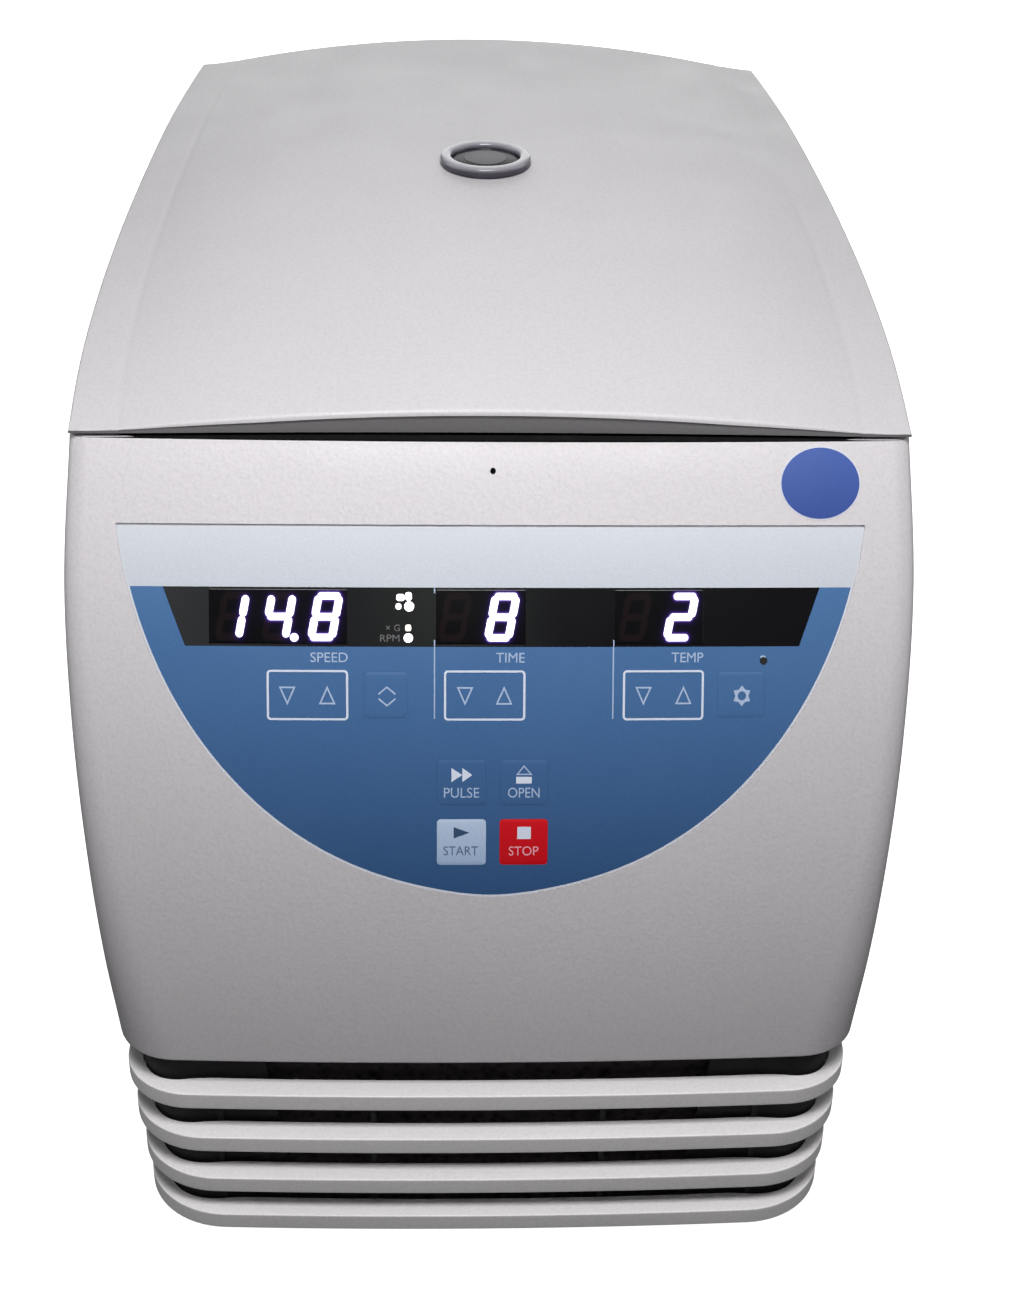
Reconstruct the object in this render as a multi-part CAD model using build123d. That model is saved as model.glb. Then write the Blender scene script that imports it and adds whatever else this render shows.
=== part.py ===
from build123d import *
import math
import os

# Refrigerated microcentrifuge. Origin at the middle of the footprint, on the bench.
# +Z up, the front faces -Y, +X is to the right of a person in front of it. Millimetres.

# ---------------------------------------------------------------- driving dimensions
Z_BOT = 8.0            # underside of the housing, top of the feet
Z_RIM = 285.0          # housing rim under the lid
Y_REAR = 218.0         # rear edge of the housing sides
Y_MAX = 220.0          # rearmost point, the inlet flange
WALL = 3.5             # housing wall
FACE_Y, FACE_Z, FACE_R = 428.184, -66.482, 652.449   # arc of the front in the YZ plane
LID_Y0, LID_Y1 = -121.6, 204.0                       # lid front and rear
LID_ZB = 286.4         # lower edge of the lid
LID_Z0, LID_Z1 = 293.0, 331.0                        # crown of the lid, front and rear
LID_E0, LID_E1 = 287.6, 317.7                        # side edge of the lid, front and rear
STRIP = 16.5           # width of the flat strip along each side of the lid
LID_T = 3.0            # lid shell wall
HINGE_Y, HINGE_Z = 190.0, 288.0
KNUCKLE_R = 14.0
Z_DECK = 272.0         # top of the deck
T_DECK = 3.0
Y_AX = 42.0            # rotor axis
BOWL_R, BOWL_T, BOWL_Z = 105.0, 1.2, 177.0
ROTOR_R = 89.0
WELLS = 24
SHAFT_R = 6.0
OV_D0, OV_D1 = 0.3, 1.1                              # control overlay, depth under the front
KEY_TRAVEL = 0.5
KEY_GAP = 0.25

os.makedirs("parts", exist_ok=True)


def put(name, *shapes):
    solids = []
    for s in shapes:
        solids += list(s.solids())
    obj = solids[0] if len(solids) == 1 else Compound(solids)
    export_step(obj, "parts/" + name + ".step")
    print(name, len(solids))


# ---------------------------------------------------------------- smooth interpolation
def curve(xs, ys):
    n = len(xs)
    d = [(ys[i + 1] - ys[i]) / (xs[i + 1] - xs[i]) for i in range(n - 1)]
    m = [d[0]]
    for i in range(1, n - 1):
        h0, h1 = xs[i] - xs[i - 1], xs[i + 1] - xs[i]
        m.append((d[i - 1] * h1 + d[i] * h0) / (h0 + h1))
    m.append(d[-1])

    def f(x):
        if x <= xs[0]:
            return ys[0] + m[0] * (x - xs[0])
        if x >= xs[-1]:
            return ys[-1] + m[-1] * (x - xs[-1])
        i = max(j for j in range(n - 1) if xs[j] <= x)
        h = xs[i + 1] - xs[i]
        t = (x - xs[i]) / h
        return ((1 + 2 * t) * (1 - t) ** 2 * ys[i] + t * (1 - t) ** 2 * h * m[i]
                + t * t * (3 - 2 * t) * ys[i + 1] + t * t * (t - 1) * h * m[i + 1])
    return f


ZL = [8, 30, 55, 80, 112, 150, 195, 240, 285]
front_half = curve(ZL, [126.0, 128.0, 131.0, 133.6, 137.8, 141.6, 144.9, 146.2, 143.4])
corner_r = curve(ZL, [30, 28, 25, 21, 17, 13, 10, 8, 6])
bow_end = curve(ZL, [3.2, 3.2, 3.2, 3.2, 2.6, 2.0, 1.5, 1.1, 0.8])
LID_YS = [-121.6, -100, -80, -30, 10, 50, 84, 130, 170, 204]
lid_half = curve(LID_YS, [143.4, 144.4, 144.9, 144.2, 142.5, 140.2, 138.0, 134.9, 131.4, 128.2])


def front_y(z):
    return FACE_Y - math.sqrt(FACE_R ** 2 - (z - FACE_Z) ** 2)


def lean(z):
    return math.asin((z - FACE_Z) / FACE_R)


def half(y, z):
    # half-width of the housing at height z and depth y
    cf = 0.003 + 0.009 * max(0.0, min(1.4, (z - 215) / 70)) ** 2
    hm = front_half(z) / (1 - cf)
    k = 0.45 + 0.55 * max(0.0, min(1.05, (z - 8) / 277))
    if y < -80:
        return hm * (1 - cf * ((-80 - y) / (-80 - front_y(z))) ** 2)
    return hm * (1 - (1 - lid_half(y) / 144.9) * k)


def section(z, inset=0.0, y_end=Y_REAR, r_end=3.0):
    # closed outline of the housing at height z, offset inwards
    y0 = front_y(z) + inset / math.cos(lean(z))
    b = bow_end(z)
    hh = lambda y: half(y, z) - inset
    r = max(corner_r(z) - inset, 1.5)
    xa = hh(y0) - r
    sag = b * (xa / hh(y0)) ** 2
    ya = y0 + sag
    a0 = 2 * math.atan(sag / xa)
    t0 = (math.cos(a0), math.sin(a0))
    yc = ya + r
    sl = (hh(yc + 1) - hh(yc - 1)) / 2
    n1 = math.hypot(sl, 1)
    t1 = (sl / n1, 1 / n1)
    k = 0.5523 * r
    P0, P3 = (xa, ya), (hh(yc), yc)
    yr = y_end - r_end
    sl2 = (hh(yr + 1) - hh(yr - 1)) / 2
    n2 = math.hypot(sl2, 1)
    t2 = (sl2 / n2, 1 / n2)
    P4 = (hh(yr), yr)
    P5 = (hh(yr) - r_end + sl2 * r_end * 0.5, y_end)
    ys = [yc + (yr - yc) * f for f in (0.18, 0.38, 0.6, 0.8)]
    pts = [P3] + [(hh(y), y) for y in ys] + [P4]
    k2 = 0.5523 * r_end

    def V(p, s=1):
        return Vector(s * p[0], p[1], z)

    edges = [ThreePointArc(V(P0, -1), Vector(0, y0, z), V(P0))]
    c1 = [P0, (P0[0] + k * t0[0], P0[1] + k * t0[1]), (P3[0] - k * t1[0], P3[1] - k * t1[1]), P3]
    c2 = [P4, (P4[0] + k2 * t2[0], P4[1] + k2 * t2[1]), (P5[0] + k2, P5[1]), P5]
    edges.append(Bezier(*[V(p) for p in c1]))
    edges.append(Spline([V(p) for p in pts], tangents=(V(t1) - Vector(0, 0, z), V(t2) - Vector(0, 0, z))))
    edges.append(Bezier(*[V(p) for p in c2]))
    edges.append(Line(V(P5), V(P5, -1)))
    edges.append(Bezier(*[V(p, -1) for p in reversed(c2)]))
    edges.append(Spline([V(p, -1) for p in reversed(pts)],
                        tangents=(Vector(t2[0], -t2[1], 0), Vector(t1[0], -t1[1], 0))))
    edges.append(Bezier(*[V(p, -1) for p in reversed(c1)]))
    return Face(Wire(edges))


def body(zs, inset=0.0, y_end=Y_REAR, r_end=3.0):
    return loft([section(z, inset, y_end, r_end) for z in zs])


def prism(z0, z1, z_ref, inset, y_end=Y_REAR, r_end=3.0):
    # straight-sided slice with the outline of height z_ref
    f = section(z_ref, inset, y_end, r_end).moved(Location((0, 0, z0 - z_ref)))
    return extrude(f, z1 - z0, dir=(0, 0, 1))


def box(x0, x1, y0, y1, z0, z1):
    return Pos((x0 + x1) / 2, (y0 + y1) / 2, (z0 + z1) / 2) * Box(abs(x1 - x0), abs(y1 - y0), abs(z1 - z0))


def cyl_z(x, y, z0, z1, r):
    return Pos(x, y, (z0 + z1) / 2) * Cylinder(r, z1 - z0)


def cyl_x(x0, x1, y, z, r):
    return Pos((x0 + x1) / 2, y, z) * Rot(0, 90, 0) * Cylinder(r, abs(x1 - x0))


def cyl_y(x, y0, y1, z, r):
    return Pos(x, (y0 + y1) / 2, z) * Rot(90, 0, 0) * Cylinder(r, abs(y1 - y0))


def ring_z(x, y, z0, z1, r0, r1):
    return cyl_z(x, y, z0, z1, r1) - cyl_z(x, y, z0 - 1, z1 + 1, r0)


def plate_xz(points, y0, y1):
    # outline in the XZ plane, extruded along Y
    f = Face(Wire(Polyline([Vector(x, y0, z) for x, z in points], close=True)))
    return extrude(f, y1 - y0, dir=(0, 1, 0))


def plate_xy(points, z0, z1):
    f = Face(Wire(Polyline([Vector(x, y, z0) for x, y in points], close=True)))
    return extrude(f, z1 - z0, dir=(0, 0, 1))


def tube(points, radii, r):
    path = FilletPolyline(*points, radius=radii)
    start = path @ 0
    d = path % 0
    prof = Plane(origin=start, z_dir=d) * Circle(r)
    return sweep(prof, path=path)


# ---------------------------------------------------------------- housing
ZW = [-14] + ZL + [330]               # evenly spaced levels that run past both ends
RAW = body(ZW)
OUT = RAW & box(-300, 300, -300, 300, Z_BOT, Z_RIM)
INN = body(ZW, WALL, 260.0)
N_IN = (0.0, 0.918, -0.396)          # mean inward normal of the control area


def deeper(d):
    return RAW.moved(Location((0, N_IN[1] * d, N_IN[2] * d)))


def patch(shape, d0, d1):
    # the part of shape that lies between two depths under the front surface
    s = shape & (deeper(d0) if abs(d0) > 1e-9 else RAW)
    return s - deeper(d1)


# control field: straight top edge, round bottom
OV = [(127.6, 259.7), (126.0, 250.0), (123.7, 240.7), (118.5, 225.6), (109.3, 206.9), (95.8, 187.8),
      (75.4, 168.1), (53.4, 154.6), (22.0, 144.4)]


def field(grow):
    pts = []
    for x, z in OV:
        dx, dz = x, z - 262.0
        n = math.hypot(dx, dz)
        pts.append((x + grow * dx / n, z + grow * dz / n))
    top = 259.7 + grow
    right = [Vector(x, -260, z) for x, z in pts[1:]]
    left = [Vector(-x, -260, z) for x, z in reversed(pts[1:])]
    p0 = Vector(127.6 + grow, -260, top)
    p1 = Vector(-127.6 - grow, -260, top)
    lower = Spline([p0] + right + [Vector(0, -260, 141.8 - grow)] + left + [p1])
    f = Face(Wire([lower, Line(p1, p0)]))
    return extrude(f, 160, dir=(0, 1, 0))


# keys: x0, x1, z0, z1 in front view
Z_ROW = (201.4, 215.2)
KEYS = {
    "key_speed_down": (-75.8, -63.2, *Z_ROW), "key_speed_up": (-62.9, -50.3, *Z_ROW),
    "key_speed_mode": (-44.0, -28.9, 201.0, 215.6),
    "key_time_down": (-15.4, -2.6, *Z_ROW), "key_time_up": (-2.3, 10.5, *Z_ROW),
    "key_temp_down": (46.0, 58.7, *Z_ROW), "key_temp_up": (59.0, 71.8, *Z_ROW),
    "key_precool": (77.6, 94.0, 201.0, 215.6),
    "key_pulse": (-18.9, -1.9, 172.8, 187.8), "key_open": (2.8, 19.5, 172.8, 187.8),
    "key_start": (-18.9, -1.9, 152.9, 168.3), "key_stop": (2.8, 19.5, 152.9, 168.3),
}


def key_block(k, grow, depth=14.0):
    x0, x1, z0, z1 = KEYS[k]
    zc = (z0 + z1) / 2
    a = lean(zc)
    hgt = (z1 - z0) / math.cos(a)
    loc = Pos((x0 + x1) / 2, front_y(zc), zc) * Rot(-math.degrees(a), 0, 0)
    return loc * Box(x1 - x0 + 2 * grow, depth, hgt + 2 * grow)


shell = OUT - INN
shell -= box(-200, 200, -300, -150, -10, 80)                         # louvre opening
shell -= cyl_x(-200, 200, HINGE_Y, HINGE_Z, KNUCKLE_R + 0.8)         # round seat of the lid knuckle
shell -= box(-200, 200, HINGE_Y, 260, HINGE_Z - KNUCKLE_R - 0.8, 300)
shell -= patch(field(0.15), -3.0, OV_D1)                             # seat of the overlay
shell -= patch(box(-98, 74, -260, -100, 225.0, 240.4), -3.0, 9.0)    # display window
for k in KEYS:
    shell -= key_block(k, 0.5)
shell -= Pos(0.1, front_y(275.8), 275.8) * Rot(90, 0, 0) * Cylinder(0.85, 20)   # release hole
for i in range(9):                                                   # side air outlets
    zz = 34 + i * 9.0
    for s in (-1, 1):
        shell -= box(s * 100, s * 160, 70, 150, zz, zz + 3.6)
put("housing_shell", shell)

overlay = patch(field(0.0), OV_D0, OV_D1)
LENS = [(-112.0, 241.4), (112.3, 241.4), (105.6, 223.7), (-104.7, 223.7)]
overlay -= plate_xz([(-112.2, 241.5), (112.5, 241.5), (105.8, 223.6), (-104.9, 223.6)], -260, -100)
for k in KEYS:
    overlay -= key_block(k, KEY_GAP)
put("control_overlay", overlay)
put("display_lens", patch(plate_xz(LENS, -260, -100), OV_D0, OV_D1))
for k in KEYS:
    put(k, patch(key_block(k, 0.0), 0.05, 3.4))

DIGITS = [(-96.5, -49.5), (-19.3, 11.5), (41.8, 72.2)]
disp = patch(box(-101, 77, -260, -100, 222.0, 243.0), 4.2, 5.8)
for x0, x1 in DIGITS + [(-38.0, -26.5)]:
    disp += patch(box(x0, x1, -260, -100, 225.6, 239.8), 1.4, 4.4)
put("display_board", disp)
pad = patch(box(-80, 98, -260, -100, 197.0, 219.5) + box(-24, 24, -260, -100, 149.0, 198.0), 4.2, 5.8)
put("keypad_board", pad)

label = patch(Pos(112.2, -180, 272.4) * Rot(90, 0, 0) * extrude(Ellipse(13.8, 10.8), 80, both=True), -0.15, 0.0)
put("round_label", label)

# ---------------------------------------------------------------- foot of the housing
ZLOW = [-14, 8, 30, 55, 80, 112]
LOUVRES = [(60.2, 67.3), (42.3, 49.4), (24.8, 31.8), (8.4, 15.5)]
gr = None
for z0, z1 in LOUVRES:
    s = prism(z0, z1, (z0 + z1) / 2, 0.0) - prism(z0 - 1, z1 + 1, (z0 + z1) / 2, 9.6, 260.0)
    s = s & box(-200, 200, -300, -150.6, 0, 100)
    gr = s if gr is None else gr + s
for x in (-98, -42, 42, 98):
    post = (body(ZLOW, 9.0, 260.0) - body(ZLOW, 12.0, 260.0)) & box(x - 1, x + 1, -300, -150, 8.4, 66.4)
    gr += post
for s in (-1, 1):
    side = (body(ZLOW, 3.0, 260.0) - body(ZLOW, 9.0, 260.0)) & box(s * 100, s * 200, -156, -150.6, 8.4, 66.4)
    gr += side
put("front_grille", gr)
fil = (body(ZLOW, 13.0, 260.0) - body(ZLOW, 18.0, 260.0)) & box(-150, 150, -300, -176, 10.6, 84)
put("air_filter", fil)

pan = (prism(Z_BOT, 10, 9, 4.2, 213.0) & box(-200, 200, -149, 300, 0, 20)) + prism(Z_BOT, 10, 9, 13.5, 213.0)
flange = (prism(9.5, 20, 9, 4.2, 213.0) - prism(9, 21, 9, 5.4, 300.0)) & box(-200, 200, -149, 211, 0, 30)
pan = pan + flange
put("base_pan", pan)
feet = []
for x, y in ((-92, -160), (92, -160), (-88, 180), (88, 180)):
    f = cyl_z(x, y, 0, Z_BOT, 14)
    f = chamfer(f.faces().sort_by(Axis.Z)[0].edges(), 1.6)
    feet.append(f)
put("feet", *feet)

# ---------------------------------------------------------------- rear panel
rear = body(ZW, WALL + 0.4, 260.0) & box(-200, 200, 214.5, 216.5, 10.6, 271.4)
for i in range(12):
    zz = 96 + i * 11.0
    rear -= box(-78, -6, 210, 220, zz, zz + 4.0)
    rear -= box(6, 78, 210, 220, zz, zz + 4.0)
INLET = (66.0, 46.0)
SWITCH = (20.0, 46.0)
rear -= box(INLET[0] - 14.2, INLET[0] + 14.2, 210, 220, INLET[1] - 10.8, INLET[1] + 10.8)
rear -= box(SWITCH[0] - 10.2, SWITCH[0] + 10.2, 210, 220, SWITCH[1] - 14.2, SWITCH[1] + 14.2)
SCREWS = []
for z in (24, 108, 190, 258):
    for s in (-1, 1):
        SCREWS.append((s * (half(215, z) - 10.0), z))
for x, z in SCREWS:
    rear -= cyl_y(x, 210, 220, z, 1.7)
put("rear_panel", rear)
scr = []
for x, z in SCREWS:
    head = cyl_y(x, 216.5, 218.7, z, 3.4)
    head = fillet(head.faces().sort_by(Axis.Y)[-1].edges(), 0.9)
    head -= box(x - 0.5, x + 0.5, 217.8, 220, z - 2.2, z + 2.2) + box(x - 2.2, x + 2.2, 217.8, 220, z - 0.5, z + 0.5)
    scr.append(head + cyl_y(x, 209, 216.5, z, 1.6))
put("panel_screws", *scr)

ix, iz = INLET
inlet = box(ix - 14, ix + 14, 197, 216.6, iz - 10.6, iz + 10.6)
flg = box(ix - 25, ix + 25, 216.5, Y_MAX, iz - 14, iz + 14)
flg = fillet(flg.edges().filter_by(Axis.Y), 4.0)
inlet = inlet + flg
inlet -= plate_xz([(ix - 12, iz - 8.6), (ix + 12, iz - 8.6), (ix + 12, iz + 4), (ix + 7.4, iz + 8.6), (ix - 7.4, iz + 8.6), (ix - 12, iz + 4)], 200.5, 222)
for dx, dz in ((-7, -3.4), (7, -3.4), (0, 1.6)):
    inlet += box(ix + dx - 1, ix + dx + 1, 200.0, 213, iz + dz - 2, iz + dz + 2)
put("power_inlet", inlet)
sx, sz = SWITCH
sf = box(sx - 10, sx + 10, 203, 216.6, sz - 14, sz + 14) + fillet(box(sx - 12, sx + 12, 216.5, 218.6, sz - 16, sz + 16).edges().filter_by(Axis.Y), 2.0)
sf -= box(sx - 8.2, sx + 8.2, 205, 222, sz - 12.2, sz + 12.2)
sf += cyl_x(sx - 8.6, sx - 6.0, 211, sz, 1.5) + cyl_x(sx + 6.0, sx + 8.6, 211, sz, 1.5)
put("switch_frame", sf)
# rocker, tipped to its ON side at rest
rk = plate_xz([(sx - 7.9, -11.4 + sz), (sx + 7.9, -11.4 + sz), (sx + 7.9, 11.4 + sz), (sx - 7.9, 11.4 + sz)], 208.6, 217.6)
rk &= cyl_x(sx - 8, sx + 8, 206.5, sz, 11.6) + box(sx - 8, sx + 8, 208, 214, sz - 11.4, sz + 11.4)
top = (Pos(sx, 217.4, sz + 6.2) * Rot(10, 0, 0) * Box(15.8, 5.0, 13.4)) + (Pos(sx, 217.4, sz - 6.2) * Rot(-10, 0, 0) * Box(15.8, 5.0, 13.4))
rk = box(sx - 7.9, sx + 7.9, 208.6, 216.2, sz - 11.2, sz + 11.2)
rk = rk + (plate_xz([(sx - 7.9, sz - 11.2), (sx + 7.9, sz - 11.2), (sx + 7.9, sz + 11.2), (sx - 7.9, sz + 11.2)], 216.0, 219.4) - (Pos(sx, 236.2, sz) * Rot(0, 90, 0) * Cylinder(19.4, 30)))
rk -= cyl_x(sx - 9, sx - 5.9, 211, sz, 1.56) + cyl_x(sx + 5.9, sx + 9, 211, sz, 1.56)
rk = Pos(0, 211, sz) * Rot(-7, 0, 0) * Pos(0, -211, -sz) * rk
put("power_rocker", rk)

# ---------------------------------------------------------------- deck, chamber, cold parts
deck = prism(Z_DECK - T_DECK, Z_DECK, Z_DECK + 0.2, WALL + 0.4, 214.0)
deck -= cyl_z(0, Y_AX, 260, 280, BOWL_R + BOWL_T + 0.5)
POSTS = [(-108, -118), (108, -118), (-104, 204), (104, 204)]
for s in (-1, 1):
    deck -= box(s * 30 - 5.5, s * 30 + 5.5, -117, -107, 260, 280)
put("top_deck", deck)
posts = []
for x, y in POSTS:
    posts.append(cyl_z(x, y, 10, Z_DECK - T_DECK, 4.5))
put("deck_posts", *posts)

ro = BOWL_R + BOWL_T
prof = [(13, BOWL_Z - BOWL_T), (ro - 5, BOWL_Z - BOWL_T), (ro, BOWL_Z + 4.0), (ro, Z_DECK), (ro + 9, Z_DECK), (ro + 9, Z_DECK + BOWL_T),
        (BOWL_R, Z_DECK + BOWL_T), (BOWL_R, BOWL_Z + 4.4), (BOWL_R - 4.6, BOWL_Z), (13, BOWL_Z)]
bowl = revolve(Plane.XZ * make_face(Polyline(*prof, close=True)), Axis.Z).moved(Location((0, Y_AX, 0)))
put("chamber_bowl", bowl)
gasket = revolve(Plane.XZ * make_face(Polyline((ro + 9.6, Z_DECK), (ro + 17, Z_DECK), (ro + 17, Z_DECK + 2), (ro + 15, Z_DECK + 3.7),
                 (ro + 12.4, Z_DECK + 3.7), (ro + 10.6, Z_DECK + 2.4), (ro + 9.6, Z_DECK + 2.4), close=True)), Axis.Z).moved(Location((0, Y_AX, 0)))
put("chamber_gasket", gasket)
coils = []
for i in range(9):
    coils.append(Pos(0, Y_AX, 191 + i * 8.2) * Torus(ro + 3.25, 3.0))
put("evaporator_coil", *coils)
foam = ring_z(0, Y_AX, 163, Z_DECK - T_DECK - 0.1, 113.4, 132) + ring_z(0, Y_AX, 163, BOWL_Z - BOWL_T - 0.2, 30, 120)
put("insulation_foam", foam)

# ---------------------------------------------------------------- drive
motor = cyl_z(0, Y_AX, 44, 150, 50)
motor = fillet(motor.faces().sort_by(Axis.Z)[-1].edges(), 6)
for i in range(12):
    a = math.radians(30 * i)
    motor += Pos(51 * math.cos(a), Y_AX + 51 * math.sin(a), 96) * Rot(0, 0, 30 * i) * Box(6, 3, 84)
motor += cyl_z(0, Y_AX, 150, 158, 18)
motor -= cyl_z(0, Y_AX, 120, 160, SHAFT_R + 0.05)
put("motor_housing", motor)
mount = box(-74, 74, Y_AX - 60, Y_AX + 52, 40, 44)
mount = fillet(mount.edges().filter_by(Axis.Z), 10)
put("motor_mount", mount)
DAMP = [(-62, Y_AX - 48), (62, Y_AX - 48), (-62, Y_AX + 40), (62, Y_AX + 40)]
dmp = []
for x, y in DAMP:
    d = cyl_z(x, y, 10, 40, 10) - (Pos(x, y, 25) * Torus(13.0, 5.0))
    dmp.append(d)
put("motor_dampers", *dmp)
spindle = cyl_z(0, Y_AX, 122, 236, SHAFT_R) + revolve(Plane.XZ * make_face(Polyline((0, 182), (13, 182), (9, 196), (0, 196), close=True)), Axis.Z).moved(Location((0, Y_AX, 0)))
put("drive_spindle", spindle)
rp = [(SHAFT_R, 196.2), (13.5, 196.2), (40, 190), (62, 190), (87, 233), (89, 237), (89, 246), (84, 246), (80, 240), (34, 240), (22, 236), (SHAFT_R, 236)]
rotor = revolve(Plane.XZ * make_face(Polyline(*rp, close=True)), Axis.Z).moved(Location((0, Y_AX, 0)))
for i in range(WELLS):
    a = 360.0 / WELLS * i
    well = Pos(0, Y_AX, 0) * Rot(0, 0, a) * Pos(66.5, 0, 239.5) * Rot(0, 45, 0) * Pos(0, 0, -14.0) * Cylinder(5.4, 34)
    rotor -= well
put("rotor_body", rotor)
rl = [(0, 246.1), (82.5, 246.1), (83.8, 247.2), (83.8, 249), (80, 250.6), (40, 254.0), (19, 255.2), (0, 255.2)]
rlid = revolve(Plane.XZ * make_face(Polyline(*rl, close=True)), Axis.Z).moved(Location((0, Y_AX, 0)))
put("rotor_lid", rlid)
kn = revolve(Plane.XZ * make_face(Polyline((0, 255.2), (18, 255.2), (18, 258), (15, 261), (15, 268), (13.5, 269.5), (0, 269.5), close=True)), Axis.Z).moved(Location((0, Y_AX, 0)))
for i in range(10):
    a = math.radians(36 * i)
    kn -= cyl_z(16.8 * math.cos(a), Y_AX + 16.8 * math.sin(a), 261, 272, 2.6)
put("rotor_knob", kn)

# ---------------------------------------------------------------- cooling machinery
cx, cy = -58.0, 146.0
comp = cyl_z(cx, cy, 22, 146, 49)
comp = fillet(comp.faces().sort_by(Axis.Z)[-1].edges(), 26)
comp = fillet(comp.faces().sort_by(Axis.Z)[0].edges(), 12)
comp += cyl_z(cx, cy, 80, 84, 51)
comp += fillet(box(cx - 48, cx + 48, cy - 48, cy + 48, 20, 23).edges().filter_by(Axis.Z), 10)
put("compressor", comp)
cm = []
for dx in (-38, 38):
    for dy in (-38, 38):
        cm.append(cyl_z(cx + dx, cy + dy, 10, 20, 8))
put("compressor_mounts", *cm)
cond = box(-100, 100, -184, -158, 14, 18) + box(-100, 100, -184, -158, 132, 136) + box(-100, -97, -184, -158, 14, 136) + box(97, 100, -184, -158, 14, 136)
for i in range(48):
    x = -95 + i * 190 / 47.0
    cond += box(x - 0.4, x + 0.4, -182, -160, 17.5, 132.5)
for j in range(5):
    cond += cyl_x(-98, 98, -171, 30 + j * 22.5, 4.0)
put("condenser", cond)
FX, FZ2, FY0, FY1 = 0.0, 76.0, -152.0, -127.0
ff = box(-60, 60, FY0, FY1, FZ2 - 60, FZ2 + 60)
ff = fillet(ff.edges().filter_by(Axis.Y), 7)
ff -= cyl_y(FX, FY0 - 1, FY1 + 1, FZ2, 57)
ff += cyl_y(FX, FY1 - 3.5, FY1, FZ2, 20)
for i in range(4):
    ff += Pos(FX, (FY1 - 3.5 + FY1) / 2, FZ2) * Rot(0, 45 + 90 * i, 0) * Pos(38, 0, 0) * Box(42, 3.5, 4)
ff += cyl_y(FX, FY1 - 12, FY1 - 3, FZ2, 5.0)
ff -= cyl_y(FX, FY1 - 13, FY1 - 6, FZ2, 2.06)
put("fan_frame", ff)
fb = cyl_y(FX, FY0 + 2, FY0 + 5, FZ2, 19) + (cyl_y(FX, FY0 + 4, FY1 - 4.5, FZ2, 19) - cyl_y(FX, FY0 + 4, FY1 - 4, FZ2, 16.5)) + cyl_y(FX, FY0 + 4, FY1 - 6.6, FZ2, 2.0)
for i in range(7):
    bl = Pos(FX, (FY0 + FY1) / 2 - 1.5, FZ2) * Rot(0, 360 / 7 * i, 0) * Pos(36.5, 0, 0) * Rot(34, 0, 0) * Box(36.5, 1.6, 24)
    fb += bl & cyl_y(FX, FY0 + 2, FY1 - 5, FZ2, 55.5)
put("fan_blades", fb)
fd = revolve(Plane.XY * make_face(Polyline((0, -45), (3, -45), (3, -38), (8, -30), (8, 30), (3, 38), (3, 45), (0, 45), close=True)), Axis.Y).moved(Location((117.5, -20, 60)))
put("filter_drier", fd)
l1 = tube([(-58, 146, 146.4), (-58, 146, 154), (-119, 146, 154), (-119, -171, 120), (-100.4, -171, 120)], [4.5, 12, 8], 2.5)
l2 = tube([(100.4, -171, 40), (117.5, -171, 40), (117.5, -90, 60), (117.5, -65.4, 60)], [6, 14], 2.0)
l3 = tube([(117.5, 25.4, 60), (117.5, 52, 60), (119, 60, 110), (119, 60, 162.8)], [10, 14], 1.6)
put("refrigerant_lines", l1, l2, l3)
drv = box(12, 98, 100, 192, 10, 16) + box(12, 98, 100, 192, 16, 140)
drv = fillet(drv.edges().filter_by(Axis.Z), 3)
for i in range(14):
    drv -= box(18 + i * 5.6, 20.6 + i * 5.6, 95, 112, 60, 130)
put("drive_unit", drv)

# ---------------------------------------------------------------- latch
lh = box(-46, 46, -125.5, -105, 249, Z_DECK - T_DECK)
lh -= box(-42, 42, -122.8, -107.4, 251.5, 263.0)
for s in (-1, 1):
    lh -= box(s * 30 - 5.5, s * 30 + 5.5, -117, -107.4, 262, 270)
put("latch_housing", lh)
lb = box(-38, 38, -122.2, -118.4, 256.6, 261.2)
for s in (-1, 1):
    lb += box(s * 30 - 2.3, s * 30 + 2.3, -118.5, -115.2, 256.9, 260.9)
put("latch_bar", lb)

# ---------------------------------------------------------------- lid
def lid_c(y):
    t = min(1.0, (y - LID_Y0) / (LID_Y1 - LID_Y0))
    return LID_Z1 - (LID_Z1 - LID_Z0) * (1 - t) ** 3.336


def lid_e(y):
    t = min(1.0, (y - LID_Y0) / (LID_Y1 - LID_Y0))
    return LID_E1 - (LID_E1 - LID_E0) * (1 - t) ** 2.0


def lid_s(y):
    t = max(0.0, min(1.0, (y - LID_Y0) / (LID_Y1 - LID_Y0)))
    return lid_e(y) + 0.6 + 1.6 * min(1.0, t / 0.35)


def lid_section(y, off, zb):
    w = lid_half(y) - off
    ze, zs, zc = lid_e(y) - off, lid_s(y) - off, lid_c(y) - off
    xs = w - STRIP
    P = lambda x, z: Vector(x, y, z)
    edges = [Line(P(-w, zb), P(-w, ze)), Line(P(-w, ze), P(-xs, zs)), ThreePointArc(P(-xs, zs), P(0, zc), P(xs, zs)),
             Line(P(xs, zs), P(w, ze)), Line(P(w, ze), P(w, zb)), Line(P(w, zb), P(-w, zb))]
    return Face(Wire(edges))


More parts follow.
